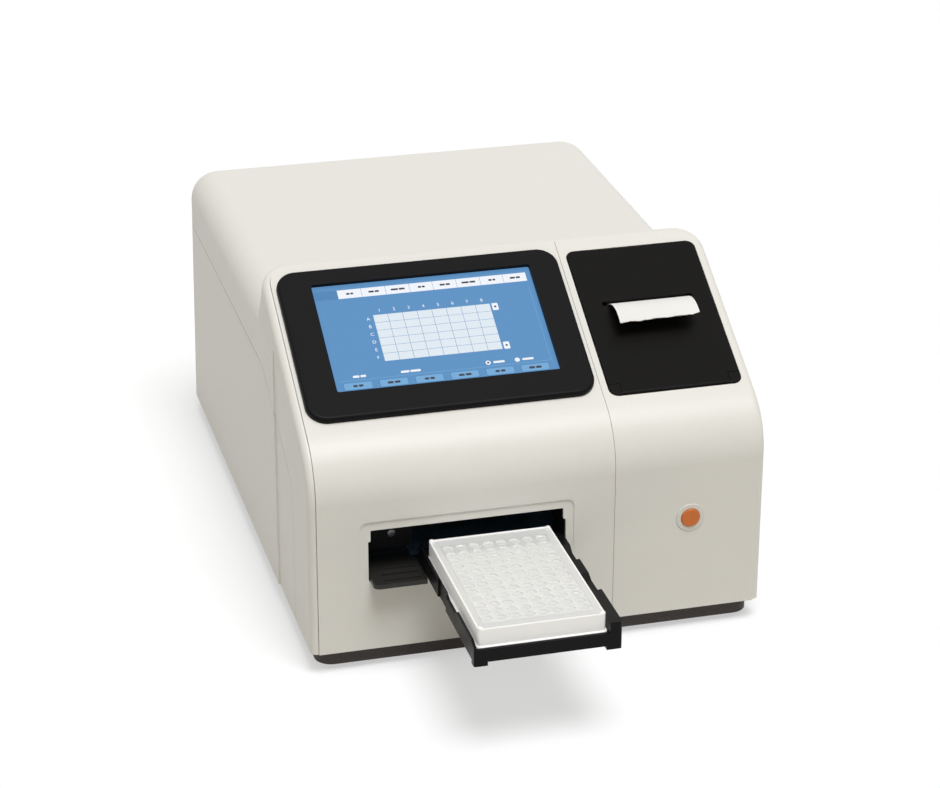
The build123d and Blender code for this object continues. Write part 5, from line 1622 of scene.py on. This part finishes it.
# ---------------------------------------------------------------- electronics and rear
@dataclass
class Electronics:
    """Boards and power supply.

    Attributes:
        top: height of the main board's upper face.
        chips: X, Y, width and length of each large package.
        leg_pitch: distance from leg to leg.
        fields: X0, X1, Y0, Y1 of the areas of small parts.
        field_seed: seed of the first area.
        can_field: area of the small capacitors.
        header_rows: X, Y and number of ways of each cable header.
        pin_pitch: distance from pin to pin.
        supply: X span, Y span and top of the power supply.
        ways: how many ways its terminal block has.
    """

    top: float = 17.1
    chips: tuple[tuple[float, ...], ...] = (
        (125.0, -35.0, 14.0, 20.0), (56.0, -42.0, 10.0, 14.0), (90.0, -118.0, 18.0, 18.0), (127.0, 20.0, 8.0, 12.0),
    )
    leg_pitch: float = 1.27
    fields: tuple[tuple[float, ...], ...] = (
        (112.0, 138.0, -148.0, -66.0), (84.0, 96.0, -26.0, 6.0), (50.0, 72.0, 28.0, 54.0),
        (74.0, 104.0, -104.0, -66.0),
    )
    field_seed: int = 11
    can_field: tuple[float, ...] = (116.0, 136.0, -140.0, -80.0)
    header_rows: tuple[tuple[float, float, int], ...] = ((84.0, 52.0, 12), (118.0, 52.0, 8), (84.0, -147.0, 10))
    pin_pitch: float = 2.54
    supply: tuple[Point, Point, float] = ((44.2, 144.0), (76.0, 178.0), 47.5)
    ways: int = 8

    def packages(self) -> None:
        """Sets the gull-wing packages and their legs on the main board."""
        bodies, legs = [], []
        for x, y, width, length in self.chips:
            half_w, half_l = width / 2, length / 2
            bodies.append((x - half_w, x + half_w, y - half_l, y + half_l, self.top + 0.3, self.top + 2.4))
            count = int(length / self.leg_pitch) - 1
            for i in range(count):
                row = y + (i - (count - 1) / 2) * self.leg_pitch
                legs += [(x + side * (width / 2 + 0.9), row, self.top) for side in (-1, 1)]
        blocks("chip_bodies", bodies, Paint.CHIP, "root", LEVEL, 0.5, 0.3)

        def leg(mould: Mesh) -> None:
            """One leg."""
            mould.block((-1.0, -0.22, 0.0), (1.0, 0.22, 0.45), 0.08, 0.05)

        repeat("chip_legs", leg, legs, Paint.STEEL)

    def small_parts(self) -> None:
        """Scatters resistors and capacitors between the larger parts."""

        def chip(mould: Mesh) -> None:
            """One surface-mounted part with its two end caps."""
            mould.block((-0.8, -0.55, 0.0), (0.8, 0.55, 0.7), 0.05, 0.05)

        def tall(mould: Mesh) -> None:
            """One radial capacitor."""
            mould.lathe([(0, 0.0), (1.9, 0.0), (2.0, 4.6), (1.7, 5.0), (1.2, 4.8), (0, 4.8)], None, 16)

        unit, can = pattern(chip, "small_part"), pattern(tall, "small_can")
        for i, area in enumerate(self.fields):
            scatter(f"small_parts_{i}", unit, area, self.top, 0.035, self.field_seed + i, Paint.CHIP)
        scatter("small_cans", can, self.can_field, self.top, 0.006, 5, Paint.CAN)

    def headers(self) -> None:
        """Sets the cable headers with their pins."""
        bodies, pins = [], []
        for x, y, count in self.header_rows:
            half = count * self.pin_pitch / 2
            bodies.append((x - half - 1, x + half + 1, y - 2.9, y + 2.9, self.top, self.top + 2.0))
            bodies.append((x - half - 1, x + half + 1, y + 2.1, y + 2.9, self.top, self.top + 7.0))
            pins += [(x + (i - (count - 1) / 2) * self.pin_pitch, y - 0.4, self.top + 1.8) for i in range(count)]
        blocks("cable_headers", bodies, Paint.CONNECTOR)

        def pin(mould: Mesh) -> None:
            """One square pin."""
            mould.block((-0.32, -0.32, 0.0), (0.32, 0.32, 4.6), 0.05, 0.15)

        repeat("header_pins", pin, pins, Paint.GOLD)

    def supply_trim(self) -> None:
        """Adds dark pads as painted shade for the supply's vent slots, and its lid screws and terminal block."""
        (x0, x1), (y0, y1), top = self.supply
        slots = [(x0 + 20 + i * 6.0, y0 + 40, top) for i in range(11)]

        def slot(mould: Mesh) -> None:
            """One dark pad that paints the shade of a vent slot's hole."""
            mould.block((-1.0, -18.0, -0.2), (1.0, 18.0, 0.12), 0.9, 0.02)

        repeat("supply_vents", slot, slots, Paint.INNER)
        places = [(x, y, top) for x in (x0 + 5, x1 - 5) for y in (y0 + 5, y1 - 5)]
        repeat("supply_screws", socket_screw(2.4, 1.5), places, Paint.SCREWS)
        low, high = 12.0, 24.0
        ways = [(x0 + 14 + i * 9.0, y0 - 3.8, high) for i in range(self.ways)]
        blocks("terminal_block", [(x0 + 8, x0 + 83, y0 - 9.0, y0 + 0.2, low, high)], Paint.INNER)
        repeat("terminal_screws", socket_screw(2.2, 1.0), ways, Paint.GOLD)

    def build(self) -> None:
        """Finishes the boards and the supply, and sets their parts."""
        paint_nodes(Paint.BOARD, "circuit_boards")
        paint_nodes(Paint.SHEET, "power_supply")
        self.packages()
        self.small_parts()
        self.headers()
        self.supply_trim()


@dataclass
class RearSide:
    """Rear panel with its inlet, switch, sockets, fan and screws, in rear-plane millimetres.

    Attributes:
        screw_places: middles of the panel's screws.
        head_radius: radius of a screw head.
        head_height: height of a screw head.
        lining_screw: the screw in the tray lining, in frame millimetres.
        inlet: middle of the power inlet.
        port: middle and width of the wide data socket.
        fan: middle of the fan.
        guard_rings: radii of the fan guard's rings.
        guard_wire: radius of its wire.
        guard_reach: how far its screws stand from the fan's middle on each axis.
    """

    screw_places: tuple[Point, ...] = ((-112.0, 18.0), (-112.0, 118.0), (112.0, 18.0), (112.0, 118.0))
    head_radius: float = 3.0
    head_height: float = 1.6
    lining_screw: tuple[float, float, float] = (-95.6, -200.0, 85.3)
    inlet: Point = (-84.0, 34.0)
    port: tuple[float, ...] = (-30.0, 34.0, 31.0)
    fan: Point = (66.0, 74.0)
    guard_rings: tuple[float, ...] = (7.0, 12.5, 18.0, 23.5, 28.5)
    guard_wire: float = 0.7
    guard_reach: float = 25.0

    def cross_head(self, mould: Mesh) -> None:
        """One pan head with its cross recess, standing on Z zero.

        Args:
            mould: the mesh to fill.
        """
        steps = 32
        radius, height = self.head_radius, self.head_height

        def cross(size: float, level: float) -> list[tuple[float, float, float]]:
            """Points on a level four-armed star."""
            points = []
            for i in range(steps):
                a = 2 * math.pi * i / steps
                reach = size * (0.42 + 0.58 * abs(math.cos(2 * a)) ** 3)
                points.append((reach * math.cos(a), reach * math.sin(a), level))
            return points

        profile = [
            (radius, 0.0), (radius, height * 0.35), (radius * 0.93, height * 0.7), (radius * 0.75, height * 0.93),
            (radius * 0.62, height),
        ]
        rings = [circle(size, level, steps) for size, level in profile]
        mould.loft([*rings, cross(radius * 0.58, height), cross(radius * 0.42, height * 0.35)])

    def sockets(self) -> None:
        """Fits the inlet's blades and the data socket's contacts and nuts."""
        x, y = self.inlet
        blades = [(x + dx - 0.9, x + dx + 0.9, y + dy - 2.0, y + dy + 2.0, -13.9, -2.0) for dx, dy in
                  ((0.0, 3.5), (-7.0, -2.5), (7.0, -2.5))]
        blocks("inlet_blades", blades, Paint.GOLD, "root", REAR, 0.3, 0.5)
        px, py, width = self.port
        pins = []
        for row, count in ((1.6, 13), (-1.6, 12)):
            pins += [(px + (i - (count - 1) / 2) * (width - 10.0) / 12, py + row, -1.2) for i in range(count)]

        def contact(mould: Mesh) -> None:
            """One round contact."""
            mould.lathe([(0, 0.0), (0.45, 0.0), (0.45, 1.3), (0.25, 1.6), (0, 1.6)], None, 8)

        repeat("port_contacts", contact, pins, Paint.GOLD, REAR)
        nuts = [(px + side * (width / 2 + 4.2), py, -0.2) for side in (-1, 1)]
        repeat("port_nuts", socket_screw(2.4, 3.0), nuts, Paint.SCREWS, REAR)

    def guard(self) -> None:
        """Fits a wire guard of rings and spokes over the fan."""
        x, y = self.fan
        mould, wire = Mesh(), self.guard_wire
        turns = [2 * math.pi * i / 8 for i in range(9)]
        for radius in self.guard_rings:
            section = [(radius + wire * math.cos(a), 2.6 + wire * math.sin(a)) for a in turns]
            mould.lathe(section, Matrix.Translation((x, y, 0)), 44)
        fit(mould.piece("fan_guard_rings", Paint.STEEL, REAR), "root", "steel")

        def spoke(mould: Mesh) -> None:
            """One pair of guard wires from corner to corner, lying on the rings."""
            mould.block((-34.0, -0.7, 0.6), (-6.0, 0.7, 1.9), 0.5, 0.3)
            mould.block((6.0, -0.7, 0.6), (34.0, 0.7, 1.9), 0.5, 0.3)

        for turn in (0.25, 0.75):
            repeat(f"guard_spokes_{int(turn * 100)}", spoke, [(x, y, 0.0)], Paint.STEEL, REAR, turn=turn * math.pi)
        reach = self.guard_reach
        corners = [(x + sx * reach, y + sy * reach, 1.6) for sx in (-1, 1) for sy in (-1, 1)]
        repeat("guard_screws", self.cross_head, corners, Paint.SCREWS, REAR)

    def build(self) -> None:
        """Finishes the rear and sets the screws."""
        self.sockets()
        self.guard()
        paint_nodes(Paint.REAR, "rear_panel")
        paint_nodes(Paint.INNER, "power_inlet", "mains_switch", "mains_rocker", "fan_frame", "fan_rotor")
        paint_nodes(Paint.STEEL, "data_ports")
        unit = pattern(self.cross_head, "screw_unit")
        places = [(x, y, 0.0) for x, y in self.screw_places]
        heads = at_points("panel_screws", unit, places, Paint.SCREWS, REAR)
        fit(heads, "root", "steel", "screw_heads")
        lining = Surface(self.lining_screw, (1, 0, 0), (0, -1, 0))
        head = at_points("lining_screw", unit, [(0, 0, 0)], Paint.MOTOR, lining)
        fit(head, "root", "steel", "screw_heads")


# ---------------------------------------------------------------- studio
@dataclass
class Studio:
    """Floor, light and camera.

    Attributes:
        eye: the camera's place in metres.
        yaw: how far it looks to the right of straight ahead, in degrees.
        pitch: how far it looks down, in degrees.
        roll: its tilt, in degrees.
        focal: focal length in pixels.
        frame_width: width of the picture in pixels.
        sensor: sensor width in millimetres.
        sky: strength of the sky on surfaces.
        sky_colour: its colour on surfaces.
        key: direction of the sun's source.
        key_power: strength of the sun.
        key_spread: breadth of the sun, in degrees.
        ground: the floor's colour to surfaces.
        ground_seen: its colour to the camera.
        ground_glow: strength of the floor's own light.
        glow_share: share of that light which the camera sees.
    """

    eye: tuple[float, float, float] = (-0.47675, -1.8254, 0.93745)
    yaw: float = 14.993
    pitch: float = 24.23
    roll: float = 0.122
    focal: float = 2814.79
    frame_width: float = 940.0
    sensor: float = 36.0
    sky: float = 0.31
    sky_colour: Colour = (1.0, 0.96, 0.88)
    key: tuple[float, float, float] = (0.04, -0.34, 0.94)
    key_power: float = 2.2
    key_spread: float = 30.0
    ground: Colour = (0.62, 0.60, 0.55)
    ground_seen: Colour = (0.80, 0.81, 0.83)
    ground_glow: float = 1.45
    glow_share: float = 0.36

    def camera(self) -> None:
        """Sets up the camera."""
        data = bpy.data.cameras.new("Camera")
        data.sensor_width = self.sensor
        data.sensor_fit = "HORIZONTAL"
        data.lens = self.focal / self.frame_width * self.sensor
        data.clip_end = 20.0
        camera = bpy.data.objects.new("Camera", data)
        bpy.context.scene.collection.objects.link(camera)
        turn = Matrix.Rotation(math.radians(-self.yaw), 4, "Z")
        tip = Matrix.Rotation(math.radians(90 - self.pitch), 4, "X")
        tilt = Matrix.Rotation(math.radians(self.roll), 4, "Z")
        camera.matrix_world = Matrix.Translation(self.eye) @ turn @ tip @ tilt
        bpy.context.scene.camera = camera

    def sun(self) -> None:
        """Lights the machine evenly from one side of the sky."""
        data = bpy.data.lights.new("Key", "SUN")
        data.energy, data.angle = self.key_power, math.radians(self.key_spread)
        light = bpy.data.objects.new("Key", data)
        bpy.context.scene.collection.objects.link(light)
        light.rotation_euler = Vector(self.key).to_track_quat("Z", "Y").to_euler()

    @staticmethod
    def seen(graph: NodeGraph) -> Wire:
        """One for rays from the camera, in reflections and through glass, else zero."""
        path = graph.node("ShaderNodeLightPath", {}, {}, "Is Camera Ray")
        outputs = path.socket.node.outputs
        glossy, through = Wire(graph, outputs["Is Glossy Ray"]), Wire(graph, outputs["Is Transmission Ray"])
        return (path + glossy + through).clamped()

    def world(self) -> None:
        """Lights the scene evenly, and shows white to the camera."""
        world = bpy.data.worlds.new("Studio")
        world.use_nodes = True
        world.node_tree.nodes.clear()
        graph = NodeGraph(world.node_tree)
        seen = self.seen(graph)
        strength = self.sky + seen * (1.0 - self.sky)
        ends = {0: seen, 6: (*self.sky_colour, 1.0), 7: (1.0, 1.0, 1.0, 1.0)}
        tint = graph.node("ShaderNodeMix", {"data_type": "RGBA"}, ends, 2)
        light = graph.node("ShaderNodeBackground", {}, {"Color": tint, "Strength": strength})
        graph.node("ShaderNodeOutputWorld", {}, {"Surface": light})
        bpy.context.scene.world = world

    def floor(self) -> None:
        """Lays a pale floor that keeps the machine's shadow."""
        mould = Mesh()
        mould.pad((0, 0), (9000, 9000), 4000, [(0, -6.0), (0, 0.0)], 24)
        floor = mould.piece("studio_floor", Paint.HOUSING)
        shader = Shader("Floor white")
        seen = self.seen(shader)
        tone = shader.blend(seen, self.ground, self.ground_seen)
        lit = shader.node("ShaderNodeBsdfDiffuse", {}, {"Color": tone})
        white = shader.node("ShaderNodeEmission", {}, {"Color": (1, 1, 1, 1), "Strength": self.ground_glow})
        mixed = shader.node("ShaderNodeMixShader", {}, {0: seen * self.glow_share, 1: lit, 2: white})
        shader.node("ShaderNodeOutputMaterial", {}, {"Surface": mixed})
        floor.material_slots[0].material = shader.material

    def build(self) -> None:
        """Sets up the whole studio."""
        self.floor()
        self.world()
        self.sun()
        self.camera()
        bpy.context.scene.view_settings.view_transform = "Standard"


def main() -> None:
    """Builds every sub-assembly in order and logs each by name."""
    logging.basicConfig(level=logging.INFO, format="%(message)s")
    for part in (
        Studio(), Housing(), TouchScreen(), ReceiptPrinter(), PowerButton(), Microplate(), CarrierDrive(), Optics(),
        Electronics(), RearSide(),
    ):
        LOG.info("building %s", type(part).__name__)
        part.build()


if __name__ == "__main__":
    main()
